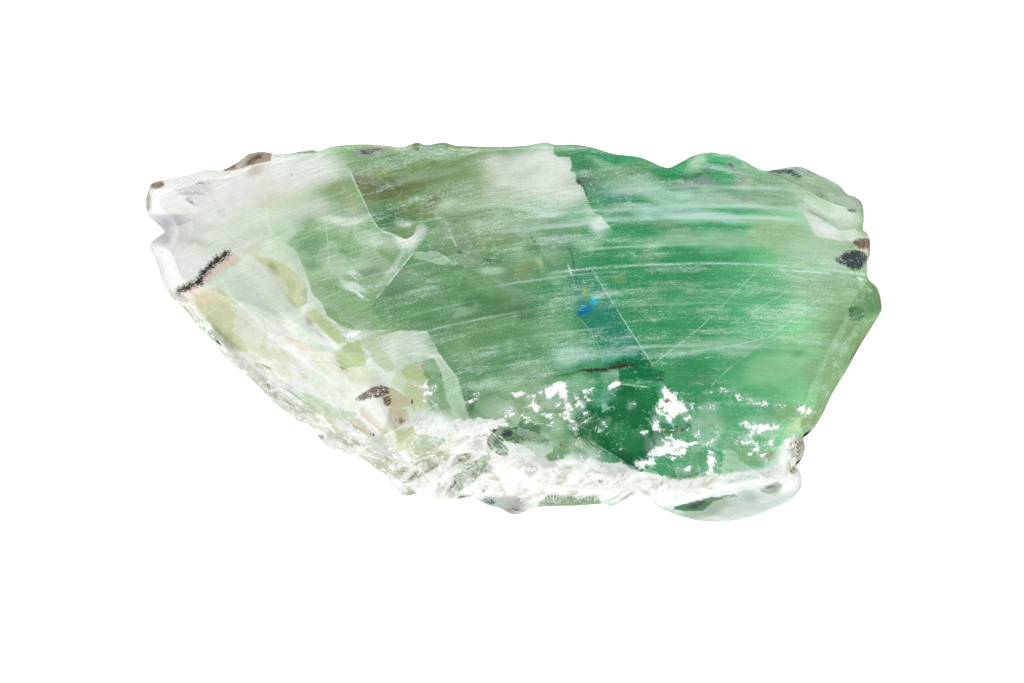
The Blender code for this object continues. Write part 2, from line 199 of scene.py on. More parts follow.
# Soft zones: sheets they are painted on, tone, strength, centre, radii, turn in degrees.
# Sheet g is the ground, f the green face, s the white shelf, and a to d the flakes and facets
# over them. A star stands for every sheet, and f with a star for every one but the ground.
ZONES = [
    # the pale end
    ("*", "milk", 0.95, (-25.5, 9.5), (6.0, 6.0), 0),
    ("*", "milk", 0.9, (-20.5, 12.2), (5.6, 3.2), 8),
    ("*", "pale_mint", 0.7, (-20.2, 9.0), (3.6, 1.8), 8),
    ("*", "straw", 0.3, (-18.9, 10.7), (1.9, 1.0), 10),
    ("*", "milk", 0.9, (-16.2, 12.9), (3.4, 1.5), 10),
    ("*", "milk", 0.5, (0.0, 12.6), (4.6, 2.0), 6),
    ("*", "pale_leaf", 0.45, (-19.4, 8.2), (1.3, 0.6), 25),
    ("*", "grey", 0.25, (-21.8, 7.4), (1.5, 0.5), 32),
    ("*", "lavender", 0.75, (-25.4, 11.6), (1.8, 0.9), 8),
    ("*", "frost", 0.8, (-23.5, 11.6), (0.8, 1.3), 0),
    ("*", "lavender", 0.6, (-26.8, 7.4), (1.9, 1.1), 0),
    ("*", "grey", 0.3, (-25.0, 7.4), (2.2, 0.5), -12),
    ("*", "bark", 0.3, (-20.8, 12.6), (0.8, 0.4), 20),
    ("*", "grey", 0.25, (-23.5, 9.9), (0.5, 0.3), 0),
    ("*", "pale_mint", 0.55, (-21.0, 7.0), (1.8, 0.8), 25),
    ("*", "tan", 0.9, (-21.4, 6.7), (1.1, 0.4), 8),
    ("*", "rose_tan", 0.9, (-23.0, 5.6), (1.2, 0.4), 42),
    # the pale lower left, under the green face
    ("g", "pale_mint", 1.0, (-20.0, 1.0), (9.5, 6.5), -38),
    ("g", "milk", 0.95, (-17.0, -2.6), (7.0, 4.2), -35),
    ("g", "rose_tan", 0.9, (-26.2, 2.4), (1.4, 0.5), -45),
    ("g", "frost", 0.7, (-20.9, 0.5), (1.3, 0.7), -20),
    ("g", "milk", 0.9, (-11.5, -3.2), (3.5, 3.5), 0),
    ("g", "pale_mint", 0.8, (-17.0, 0.4), (1.3, 0.6), 10),
    ("g", "tan", 0.45, (-17.6, -0.7), (2.4, 0.6), -10),
    ("g", "frost", 0.7, (-16.2, 2.0), (0.7, 0.5), -30),
    ("g", "bark", 0.5, (-16.1, 1.35), (0.6, 0.4), -30),
    ("g", "straw", 0.55, (-19.4, -1.8), (1.9, 0.7), -35),
    ("g", "mint", 0.6, (-15.6, -0.9), (1.4, 0.4), -25),
    ("g", "frost", 0.6, (-13.6, 0.6), (1.6, 0.3), -40),
    ("g", "pale_mint", 0.8, (-11.4, -2.7), (1.1, 0.9), -50),
    ("g", "bark", 0.5, (-13.8, -2.8), (0.5, 0.2), -30),
    ("g", "olive", 0.55, (-20.0, -2.9), (0.9, 0.2), -28),
    ("g", "straw", 0.6, (-18.8, -3.5), (1.2, 0.4), -28),
    ("g", "leaf", 0.5, (-16.8, -4.0), (0.8, 0.25), -28),
    ("g", "grey", 0.5, (-18.0, -5.2), (1.9, 0.3), -38),
    ("g", "olive", 0.5, (-16.6, -6.0), (1.4, 0.35), -30),
    ("g", "lavender", 0.6, (-22.4, -2.1), (1.8, 0.5), -42),
    ("g", "rose_tan", 0.5, (-19.8, -4.6), (1.0, 0.4), -42),
    # the broken lower side
    ("g", "frost", 1.0, (-11.0, -9.0), (7.0, 3.5), -15),
    ("g", "milk", 1.0, (-6.0, -10.5), (8.5, 5.0), -5),
    ("g", "milk", 1.0, (-14.0, -8.0), (6.0, 3.0), -28),
    ("g", "sage", 0.5, (-13.6, -8.4), (1.8, 0.4), -20),
    ("g", "straw", 0.5, (-16.0, -7.6), (0.5, 0.7), 30),
    ("g", "straw", 0.5, (-6.8, -9.0), (1.6, 0.8), 20),
    ("g", "grey", 0.4, (-7.4, -7.2), (1.2, 0.5), 0),
    ("g", "frost", 0.9, (-6.6, -8.0), (1.6, 1.0), 20),
    ("g", "pale_mint", 0.6, (-8.5, -4.6), (2.6, 2.4), 0),
    ("g", "grass", 0.9, (-3.4, -5.6), (2.2, 1.9), 0),
    ("g", "leaf", 0.7, (0.6, -5.8), (2.6, 2.0), 0),
    ("g", "pale_leaf", 0.7, (-0.6, -3.9), (3.2, 0.8), 12),
    ("g", "leaf", 0.7, (1.2, -4.6), (1.6, 0.7), 0),
    ("g", "mint", 0.25, (0.2, -6.4), (2.2, 0.7), 0),
    ("g", "grass", 0.7, (3.3, -7.0), (1.2, 1.8), 0),
    ("g", "mint", 0.6, (3.4, -8.1), (1.0, 0.9), 0),
    ("g", "mint", 0.8, (1.4, -9.3), (1.4, 0.5), 5),
    ("g", "emerald", 0.6, (6.0, -5.0), (2.2, 0.9), 0),
    ("g", "pale_leaf", 0.6, (5.0, -4.2), (2.0, 0.6), 0),
    ("g", "sage", 0.7, (6.2, -9.4), (1.6, 0.7), -15),
    ("g", "forest", 0.5, (5.6, -9.9), (0.8, 0.5), 0),
    ("g", "frost", 1.0, (2.5, -12.6), (12.0, 3.0), 0),
    ("g", "frost", 1.0, (8.0, -12.4), (6.5, 1.9), -8),
    ("g", "olive", 0.8, (3.6, -13.85), (2.0, 0.25), 0),
    ("g", "olive", 0.6, (5.9, -13.5), (1.4, 0.5), 5),
    ("g", "grass", 0.5, (2.9, -13.8), (1.0, 0.2), 0),
    ("g", "grey", 0.8, (-0.3, -13.9), (1.3, 0.7), 0),
    ("g", "slate", 0.6, (-1.9, -13.6), (0.8, 0.4), -20),
    ("g", "pale_mint", 0.9, (15.4, -7.4), (1.3, 1.8), 10),
    ("g", "emerald", 0.7, (15.2, -7.6), (1.2, 1.4), 0),
    ("g", "mint", 0.5, (15.4, -7.2), (1.0, 1.4), 0),
    ("g", "bright_emerald", 0.9, (18.6, -6.6), (3.4, 1.0), -3),
    ("g", "bright_emerald", 0.7, (17.2, -8.2), (2.2, 1.0), -8),
    ("g", "mint", 0.5, (19.8, -7.2), (2.0, 0.8), 0),
    ("g", "leaf", 0.7, (22.0, -6.6), (1.8, 0.6), -10),
    ("g", "leaf", 0.8, (18.6, -9.5), (1.6, 0.6), -25),
    ("g", "moss", 0.95, (20.7, -9.7), (0.8, 0.6), 0),
    ("g", "straw", 0.7, (22.7, -7.6), (1.0, 0.6), 10),
    ("g", "moss", 0.5, (23.4, -6.0), (0.9, 0.6), 0),
    ("g", "mint", 0.7, (17.2, -9.6), (0.9, 0.5), -40),
    ("g", "frost", 0.95, (18.5, -11.9), (6.0, 1.1), 8),
    ("g", "milk", 0.9, (17.5, -14.2), (5.5, 1.3), 4),
    ("g", "frost", 0.95, (22.3, -11.0), (1.5, 2.2), -10),
    ("g", "frost", 0.8, (19.6, -12.9), (3.0, 0.7), 10),
    # the green face
    ("f*", "pale_leaf", 0.5, (-14.0, 7.0), (4.0, 2.6), 10),
    ("f*", "sage", 0.6, (-13.4, 9.9), (2.4, 1.2), 12),
    ("f*", "olive", 0.6, (-13.6, 11.5), (1.6, 0.6), 14),
    ("f*", "tan", 0.3, (-12.8, 10.4), (1.0, 0.6), -50),
    ("f*", "milk", 0.6, (-16.2, 9.6), (1.6, 0.9), 8),
    ("f*", "frost", 0.7, (-13.6, 8.9), (2.2, 0.45), 8),
    ("f*", "leaf", 0.7, (-17.2, 7.6), (1.5, 0.6), 25),
    ("f*", "grass", 0.7, (-16.2, 6.7), (1.4, 0.8), 8),
    ("f*", "leaf", 0.6, (-14.0, 7.5), (1.6, 0.5), 8),
    ("f*", "grass", 0.6, (-14.2, 6.1), (1.2, 0.3), 8),
    ("f*", "grass", 0.7, (-16.0, 5.4), (1.0, 0.5), 8),
    ("f*", "leaf", 0.8, (-15.2, 3.7), (1.3, 1.0), 0),
    ("f*", "pale_leaf", 0.7, (-13.2, 5.0), (2.0, 0.7), 10),
    ("f", "forest", 0.7, (-11.3, 4.7), (0.9, 0.6), 10),
    ("f", "leaf", 0.6, (-10.8, 3.9), (0.9, 1.2), -40),
    ("f", "frost", 0.45, (-10.3, 6.9), (1.9, 0.5), -12),
    # a painted highlight on a ridge
    ("f", "frost", 0.9, (-8.4, 6.9), (1.0, 0.7), 0),
    ("f", "mint", 0.5, (-9.3, 5.0), (2.6, 0.4), 50),
    ("f", "frost", 0.75, (-12.6, 3.5), (1.5, 0.28), -26),
    # a painted glint
    ("f", "white", 0.7, (-12.6, 4.45), (0.7, 0.2), -18),
    ("f*", "frost", 0.6, (-7.4, 7.6), (0.6, 0.9), -10),
    ("f*", "olive", 0.55, (-6.6, 12.8), (4.4, 0.65), 6),
    ("f*", "leaf", 0.5, (-5.2, 12.3), (4.4, 0.5), 6),
    ("f*", "dark_olive", 0.5, (-4.2, 12.9), (1.2, 0.3), 6),
    ("f*", "sage", 0.8, (-5.0, 14.3), (5.6, 0.6), 1),
    ("f*", "mint", 0.6, (-4.6, 14.15), (4.2, 0.25), 2),
    ("f*", "white", 0.8, (-3.8, 14.6), (0.5, 0.25), -10),
    ("f*", "tan", 0.7, (-9.8, 14.6), (1.8, 0.3), -4),
    ("f*", "olive", 0.6, (-7.9, 14.7), (0.5, 0.5), 0),
    ("f*", "sage", 0.6, (-2.2, 13.5), (2.4, 0.7), 4),
    ("f*", "pale_leaf", 0.7, (-2.4, 11.2), (3.4, 1.3), 5),
    ("f*", "mint", 0.6, (-3.6, 11.75), (2.8, 0.22), 5),
    ("f*", "mint", 0.5, (-5.0, 11.3), (0.9, 0.4), 5),
    ("f*", "sage", 0.6, (-3.6, 9.7), (1.6, 0.9), 10),
    ("f*", "pale_leaf", 0.6, (-1.2, 9.6), (2.0, 0.7), 5),
    ("f*", "grey", 0.4, (1.0, 11.2), (1.2, 0.6), 0),
    ("f*", "mint", 0.6, (2.4, 9.6), (1.8, 0.7), 0),
    ("f*", "leaf", 0.6, (0.6, 8.6), (3.0, 0.5), 3),
    ("f*", "mint", 0.5, (-3.2, 8.9), (0.8, 0.5), 10),
    ("f*", "moss", 0.5, (-2.2, 7.9), (2.2, 0.9), 4),
    ("f*", "forest", 0.6, (-0.6, 1.6), (3.0, 1.2), 6),
    ("f*", "forest", 0.75, (-4.1, 7.6), (0.9, 1.0), -10),
    ("f*", "moss", 0.6, (-1.4, 7.0), (2.4, 0.9), 2),
    ("f*", "forest", 0.6, (-2.5, 6.3), (1.0, 0.5), -10),
    ("f*", "mint", 0.45, (1.2, 7.8), (0.9, 0.5), 0),
    ("f*", "pale_leaf", 0.5, (0.9, 6.6), (0.5, 0.6), 30),
    ("f*", "forest", 0.7, (2.9, 6.6), (1.9, 0.55), 3),
    ("f*", "grey", 0.4, (3.4, 7.7), (1.2, 0.6), 0),
    ("f*", "mint", 0.85, (-1.4, 5.2), (1.2, 0.42), 0),
    ("f*", "moss", 0.85, (1.0, 5.0), (0.9, 0.6), 0),
    ("f*", "straw", 0.6, (2.2, 5.2), (0.35, 0.7), 30),
    ("f*", "grass", 0.7, (3.4, 5.2), (0.9, 0.6), 0),
    ("f*", "pale_leaf", 0.5, (-5.2, 4.6), (2.4, 0.6), 12),
    ("f*", "leaf", 0.5, (-2.6, 4.2), (2.6, 0.6), 5),
    ("f*", "grass", 0.6, (-6.4, 3.2), (2.4, 0.9), 8),
    ("f*", "forest", 0.75, (-3.0, 2.5), (1.9, 0.5), 0),
    ("f*", "moss", 0.6, (-0.4, 2.5), (0.8, 0.6), 0),
    ("f*", "mint", 0.45, (-4.4, 1.6), (1.4, 0.5), 15),
    ("f*", "forest", 0.6, (-6.6, 1.0), (0.9, 0.6), 10),
    ("f*", "emerald", 0.5, (2.6, 3.0), (2.0, 0.9), 10),
    ("f*", "leaf", 0.4, (-2.0, 0.4), (2.4, 0.7), 8),
    ("f*", "leaf", 0.5, (-4.2, -1.4), (1.6, 1.2), 0),
    ("f*", "pale_leaf", 0.45, (3.2, 0.2), (2.4, 1.5), 0),
    ("f*", "pale_teal", 0.65, (4.8, -2.0), (2.4, 1.1), 0),
    ("f*", "mint", 0.35, (0.6, -3.0), (2.4, 0.7), 12),
    ("f*", "grass", 0.5, (-2.6, -2.6), (1.8, 0.9), 10),
    ("f*", "pale_leaf", 0.5, (3.4, 4.2), (1.0, 0.5), 0),
    ("f*", "forest", 0.85, (6.2, 12.7), (1.1, 1.2), 0),
    ("f*", "slate", 0.5, (6.0, 12.4), (1.0, 1.0), 0),
    ("f*", "leaf", 0.5, (8.6, 13.2), (2.6, 0.5), -8),
    ("f*", "mint", 0.5, (7.4, 13.9), (1.8, 0.3), -14),
    ("f*", "grass", 0.5, (9.6, 12.4), (2.6, 0.6), -4),
    ("f*", "slate", 0.45, (8.0, 11.0), (2.2, 0.9), 0),
    ("f*", "mint", 0.5, (9.0, 11.9), (3.4, 0.6), -3),
    ("f*", "teal", 0.4, (8.4, 10.4), (1.8, 0.5), 0),
    ("f*", "mint", 0.35, (10.4, 11.2), (2.6, 0.6), -2),
    ("f*", "pale_teal", 0.7, (13.4, 11.4), (1.4, 0.45), 0),
    ("f*", "forest", 0.6, (14.8, 12.6), (1.6, 0.35), -4),
    ("f*", "slate", 0.8, (14.9, 11.95), (1.9, 0.4), -6),
    ("f*", "sage", 0.6, (16.4, 11.0), (2.0, 0.9), -5),
    ("f*", "pale_teal", 0.75, (11.0, 9.55), (2.4, 0.35), 0),
    ("f*", "pale_teal", 0.8, (15.6, 9.3), (4.2, 0.6), -4),
    ("f*", "mint", 0.5, (20.0, 9.1), (2.6, 0.4), -5),
    ("f*", "leaf", 0.7, (12.4, 8.5), (1.6, 0.4), 0),
    ("f*", "sage", 0.6, (13.8, 7.6), (1.6, 0.7), 0),
    ("f*", "pale_leaf", 0.5, (11.0, 7.4), (3.4, 0.6), 0),
    ("f*", "mint", 0.6, (17.5, 7.2), (3.0, 0.9), -4),
    ("f*", "mint", 0.5, (13.5, 7.0), (3.0, 0.5), 0),
    ("f*", "white", 0.5, (16.0, 13.2), (1.6, 0.25), -8),
    ("f*", "mint", 0.9, (15.0, 13.75), (1.0, 0.5), 12),
    ("f*", "bright_emerald", 0.8, (16.1, 14.0), (0.6, 0.5), 0),
    ("f*", "sage", 0.9, (18.4, 13.0), (1.6, 0.7), -28),
    ("f*", "grey", 0.6, (17.5, 13.4), (0.4, 0.6), 40),
    ("f*", "grey", 0.6, (17.9, 12.1), (0.5, 0.5), 0),
    ("f*", "tan", 0.6, (18.7, 12.1), (0.6, 0.6), 0),
    ("f*", "moss", 0.6, (19.9, 11.9), (0.9, 0.4), -10),
    ("f*", "sage", 0.8, (20.2, 10.8), (3.0, 0.9), -10),
    ("f*", "mint", 0.5, (19.4, 10.6), (2.0, 0.3), -6),
    ("f*", "leaf", 0.85, (21.4, 8.2), (2.8, 0.7), -6),
    ("f*", "pale_leaf", 0.8, (19.2, 7.6), (1.1, 0.6), -20),
    ("f*", "pale_leaf", 0.8, (23.5, 7.0), (3.5, 1.0), -4),
    ("f*", "pale_mint", 0.85, (25.4, 7.9), (1.9, 0.7), -18),
    ("f*", "pale_leaf", 0.4, (24.5, 3.0), (3.4, 2.2), 0),
    ("f*", "bright_emerald", 0.7, (20.4, 3.4), (2.2, 1.4), 0),
    ("f*", "emerald", 0.7, (10.4, 3.4), (3.0, 1.5), 0),
    ("f*", "bright_emerald", 0.4, (13.8, 1.4), (3.0, 1.2), 0),
    ("f*", "emerald", 0.6, (14.0, 5.9), (4.6, 0.4), 0),
    ("f*", "leaf", 0.35, (10.9, 5.8), (1.4, 0.4), 0),
    ("f*", "leaf", 0.5, (8.4, 4.3), (0.9, 0.7), -40),
    ("f*", "mint", 0.6, (16.6, -0.9), (4.0, 0.8), 8),
    ("f*", "pale_leaf", 0.5, (22.6, -0.8), (2.4, 0.7), 5),
    ("f*", "glow", 1.0, (20.8, -3.1), (3.6, 1.7), 3),
    ("f*", "pale_leaf", 0.3, (20.4, -2.8), (2.4, 0.9), 3),
    ("f*", "bright_emerald", 0.6, (17.4, -3.2), (1.4, 1.2), -20),
    ("f*", "emerald", 0.7, (13.6, -3.1), (2.4, 0.7), -5),
    ("f*", "forest", 0.4, (14.8, -3.9), (0.7, 0.4), 0),
    ("f*", "leaf", 0.5, (24.4, -3.6), (1.6, 1.2), 0),
    ("f*", "grass", 0.4, (22.8, -1.9), (0.8, 0.4), -10),
    # shades within the flakes
    ("a", "dark_olive", 0.9, (-12.4, 12.3), (1.6, 0.6), 5),
    ("a", "dark_olive", 0.7, (-10.6, 11.6), (2.6, 0.9), 6),
    ("a", "olive", 0.8, (-10.6, 12.8), (1.6, 0.4), 4),
    ("a", "sage", 0.8, (-11.0, 13.5), (2.4, 0.3), 4),
    ("a", "forest", 0.9, (-10.3, 9.2), (1.6, 1.6), -30),
    ("a", "moss", 0.5, (-8.0, 10.6), (1.8, 0.5), 8),
    ("a", "frost", 0.85, (-8.8, 8.6), (0.8, 0.5), -35),
    ("a", "dark_olive", 0.5, (-6.2, 10.8), (1.4, 0.4), 8),
    ("a", "mint", 0.5, (-5.6, 10.0), (1.8, 0.3), 8),
    ("a", "milk", 0.75, (0.8, 13.2), (4.2, 1.6), 0),
    ("a", "milk", 0.95, (2.6, 13.4), (2.6, 1.6), 0),
    ("a", "frost", 0.9, (3.6, 13.6), (1.3, 0.8), 0),
    ("a", "milk", 0.8, (2.6, 12.0), (2.8, 1.5), -10),
    ("a", "pale_mint", 0.5, (0.0, 11.6), (3.4, 1.2), 8),
    ("a", "grey", 0.25, (1.0, 12.9), (1.2, 0.5), 15),
    ("a", "milk", 0.8, (4.4, 11.0), (1.4, 1.3), -35),
    ("a", "mint", 0.8, (6.4, 9.0), (1.4, 0.7), -35),
    ("a", "leaf", 0.6, (5.4, 8.6), (0.8, 1.2), -20),
    ("a", "frost", 0.8, (7.0, 8.4), (0.9, 0.8), -20),
    ("a", "tan", 0.5, (7.1, 7.6), (0.5, 0.2), 10),
    ("a", "pale_leaf", 0.7, (6.0, 6.9), (1.0, 0.7), 0),
    ("a", "olive", 0.7, (-19.4, 5.0), (0.8, 0.35), -52),
    ("a", "pale_mint", 0.9, (-20.6, 0.0), (1.6, 1.4), -38),
    ("a", "tan", 0.7, (-24.6, 2.9), (1.5, 0.8), -20),
    ("a", "forest", 0.4, (9.0, -9.4), (1.2, 0.6), -30),
    ("a", "emerald", 0.4, (10.6, -5.2), (0.9, 0.9), 0),
    ("a", "emerald", 0.5, (12.6, -7.5), (1.8, 0.5), 0),
    ("b", "forest", 0.5, (-8.9, 3.6), (1.6, 1.0), 40),
    ("b", "grass", 0.5, (-9.4, 1.6), (1.2, 0.8), 0),
    ("b", "emerald", 0.5, (5.9, 4.2), (0.8, 0.8), 0),
    # a painted coloured glint: the lime, cyan and blue spots
    ("b", "lime", 0.9, (5.5, 2.9), (0.5, 0.4), 0),
    ("b", "lime", 0.6, (6.3, 2.6), (0.4, 0.25), 0),
    ("b", "cyan", 1.0, (6.6, 2.15), (0.6, 0.36), 20),
    ("b", "blue", 0.95, (5.6, 1.55), (0.8, 0.34), 12),
    ("b", "cyan", 0.6, (5.3, 1.8), (0.3, 0.2), 0),
    ("b", "bark", 0.7, (7.35, 2.6), (0.2, 0.6), -25),
    ("b", "pale_teal", 0.45, (7.6, -2.0), (1.2, 0.8), 10),
    ("b", "pale_teal", 0.3, (9.4, -1.9), (1.2, 0.5), -20),
    ("b", "moss", 0.6, (27.9, -0.9), (0.6, 1.4), -30),
    ("b", "leaf", 0.6, (25.6, -4.2), (0.9, 1.4), -30),
    ("b", "olive", 0.6, (23.6, -6.9), (0.9, 0.8), -30),
    ("b", "slate", 0.6, (22.6, 12.7), (1.8, 0.4), -10),
    ("b", "sage", 0.6, (24.6, 11.4), (1.8, 0.6), -32),
    ("c", "grass", 0.7, (-6.6, -0.9), (0.8, 0.6), 10),
    ("c", "frost", 0.6, (-7.0, -2.1), (1.4, 0.25), -5),
    ("c", "frost", 0.5, (-9.6, -1.6), (0.5, 1.0), 25),
    ("d", "brown", 0.7, (-20.7, 13.8), (0.6, 0.25), 30),
    ("d", "olive", 0.5, (-21.6, 13.5), (0.4, 0.3), 0),
    # the crack of the pale end and its stained border
    ("gabc", "rose_tan", 0.8, (-26.4, 2.9), (0.9, 0.35), 20),
    ("gabc", "tan", 0.7, (-22.6, 5.7), (0.8, 0.35), 40),
    ("gabc", "tan", 0.6, (-25.2, 2.9), (1.3, 0.5), -10),
    ("gac", "lavender", 0.7, (-28.6, 9.4), (0.9, 0.4), 0),
    ("gac", "grey", 0.5, (-29.1, 10.6), (0.35, 0.9), 0),
    ("gac", "grey", 0.35, (-28.6, 5.2), (0.35, 1.4), 12),
    # the upper right
    ("f*", "sage", 0.9, (22.4, 11.3), (3.4, 0.9), -28),
    ("f*", "mint", 0.95, (25.2, 10.0), (3.4, 1.1), -28),
    ("f*", "pale_mint", 0.7, (26.3, 9.4), (1.8, 0.6), -25),
    ("f*", "pale_leaf", 0.45, (20.6, 9.2), (3.2, 0.8), -6),
    ("f*", "sage", 0.5, (19.0, 11.5), (2.0, 0.8), -14),
    ("f*", "mint", 0.6, (26.6, 6.0), (1.8, 1.0), 0),
    ("f*", "pale_teal", 0.5, (13.6, 10.3), (3.0, 0.5), -3),
    # the middle of the face
    ("f*", "olive_sage", 0.7, (-3.2, 10.6), (4.8, 2.0), 5),
    ("f*", "olive_sage", 0.6, (-1.6, 8.2), (4.6, 1.2), 5),
    ("f*", "leaf", 0.5, (-7.4, 13.4), (5.0, 0.6), 4),
    ("f*", "pale_leaf", 0.4, (2.0, 6.0), (2.4, 0.7), 4),
    ("a", "dark_olive", 0.6, (-9.4, 12.0), (3.6, 0.6), 8),
    ("a", "sage", 0.6, (-6.4, 12.9), (3.4, 0.5), 6),
    ("a", "dark_olive", 0.45, (-7.0, 10.2), (3.4, 0.5), 9),
    ("a", "forest", 0.5, (-9.0, 8.9), (2.0, 0.5), 4),
    ("a", "sage", 0.5, (-5.0, 11.6), (2.6, 0.5), 6),
    ("a", "mint", 0.6, (-3.8, 10.2), (2.8, 1.0), 8),
    ("a", "mint", 0.7, (24.6, 6.4), (3.0, 1.1), -4),
    ("abc", "frost", 0.6, (25.2, 8.4), (1.8, 0.5), -18),
    ("b", "forest", 0.7, (28.6, 2.6), (1.2, 1.6), -10),
    ("b", "moss", 0.7, (27.2, 0.6), (0.8, 1.8), -25),
    ("a", "khaki", 0.4, (-24.2, 1.6), (1.6, 0.8), -40),
    ("g", "straw", 0.8, (-22.2, 0.8), (1.6, 1.0), -38),
    ("c", "pale_leaf", 0.6, (-4.7, -5.0), (0.9, 2.4), 15),
    ("f", "frost", 0.5, (-8.9, 7.3), (1.6, 0.5), -25),
    ("f", "frost", 0.5, (-9.6, 5.3), (1.6, 0.3), 50),
    ("a", "pale_teal", 0.5, (7.3, -5.4), (1.1, 0.9), 20),
    ("a", "emerald", 0.5, (9.0, -8.6), (2.0, 0.7), -30),
    ("g", "emerald", 0.8, (12.8, -6.4), (2.2, 1.4), 0),
    ("g", "frost", 0.9, (22.6, -12.6), (1.6, 1.6), 0),
    ("g", "silk", 0.5, (6.6, -10.0), (2.4, 0.3), -33),
    ("f*", "pale_leaf", 0.4, (23.5, 4.0), (4.6, 2.2), -8),
    ("f*", "leaf", 0.25, (20.5, 7.4), (3.0, 1.2), -5),
    ("f*", "ash_mint", 0.5, (13.0, 10.9), (6.0, 0.7), -1),
    ("f*", "ash_mint", 0.25, (9.5, 12.0), (3.6, 0.5), -4),
    ("f*", "grey", 0.5, (14.2, 12.0), (2.4, 0.4), -3),
    ("f*", "silk", 0.4, (14.8, 13.0), (1.6, 0.3), -10),
    ("f*", "sage", 0.35, (9.0, 12.9), (3.0, 0.8), -8),
    ("f*", "moss", 0.3, (-2.0, 8.2), (3.2, 1.6), 5),
    ("f*", "forest", 0.5, (0.0, 2.0), (2.6, 1.2), 6),
    ("f*", "leaf", 0.6, (21.0, 8.0), (2.4, 1.0), -5),
    ("f*", "forest", 0.35, (5.6, 12.6), (1.6, 1.4), 0),
    ("f*", "silk", 0.35, (15.0, 9.0), (3.0, 0.7), -2),
    ("f*", "silk", 0.3, (5.0, -2.0), (1.8, 0.9), 5),
    ("f*", "pale_mint", 0.25, (-15.0, 5.0), (1.8, 1.2), 0),
    ("f*", "pale_mint", 0.3, (-14.0, 9.0), (2.2, 1.6), 0),
    ("f*", "milk", 0.1, (-16.5, 6.6), (1.4, 0.9), 0),
    ("f*", "straw", 0.3, (-7.0, 12.6), (2.6, 0.7), 4),
    ("c", "milk", 0.5, (-8.5, -1.0), (2.4, 1.0), -10),
    ("b", "milk", 0.35, (-20.5, 3.2), (2.6, 1.6), -38),
    ("b", "grass", 0.3, (-5.9, -4.8), (0.9, 1.6), 0),
    ("a", "pale_mint", 0.5, (2.0, 11.5), (4.5, 3.4), 0),
    ("g", "grass", 0.4, (4.6, -9.0), (1.8, 0.9), -10),
    ("g", "grass", 0.35, (0.0, -6.2), (2.6, 1.2), 0),
    ("gabc", "khaki", 0.3, (-22.0, 1.0), (2.2, 1.2), -38),
    ("g", "straw", 0.5, (-12.6, -3.2), (2.0, 0.9), -30),
    ("g", "straw", 0.4, (-15.6, -2.2), (2.4, 0.7), -34),
    # painted shade over the broken band
    ("g", "khaki", 0.3, (-7.6, -10.2), (3.2, 1.1), 25),
    ("g", "straw", 0.6, (-8.8, -8.8), (1.6, 0.9), 10),
    # painted shade over the broken band
    ("g", "khaki", 0.25, (-3.8, -11.4), (1.8, 0.7), 25),
    ("g", "khaki", 0.4, (-13.0, -8.6), (2.4, 0.5), -25),
    ("g", "straw", 0.5, (-15.4, -6.9), (2.0, 0.6), -28),
    ("g", "grey", 0.4, (-1.0, -12.6), (1.6, 0.5), 10),
    ("g", "rose_tan", 0.4, (-3.0, -12.7), (0.8, 0.4), 0),
    ("s", "milk", 0.7, (2.4, -11.4), (2.6, 0.5), 4),
    ("s", "mint", 0.5, (4.4, -11.2), (1.8, 0.3), 6),
    ("s", "grey", 0.35, (-2.6, -10.4), (0.8, 0.8), 0),
    ("s", "milk", 0.7, (-3.0, -8.8), (0.8, 1.0), -10),
    ("s", "grey", 0.35, (6.8, -12.0), (0.5, 0.6), 0),
    # the lobe
    ("c", "sage", 0.6, (15.2, -14.2), (2.2, 0.6), 8),
    ("c", "frost", 0.6, (20.8, -13.7), (1.6, 0.5), 20),
    ("c", "sage", 0.4, (18.7, -13.5), (0.9, 0.5), -20),
    ("c", "milk", 0.6, (17.6, -14.7), (2.4, 0.4), 4),
    ("g", "milk", 0.9, (18.6, -11.5), (3.6, 0.6), 6),
]

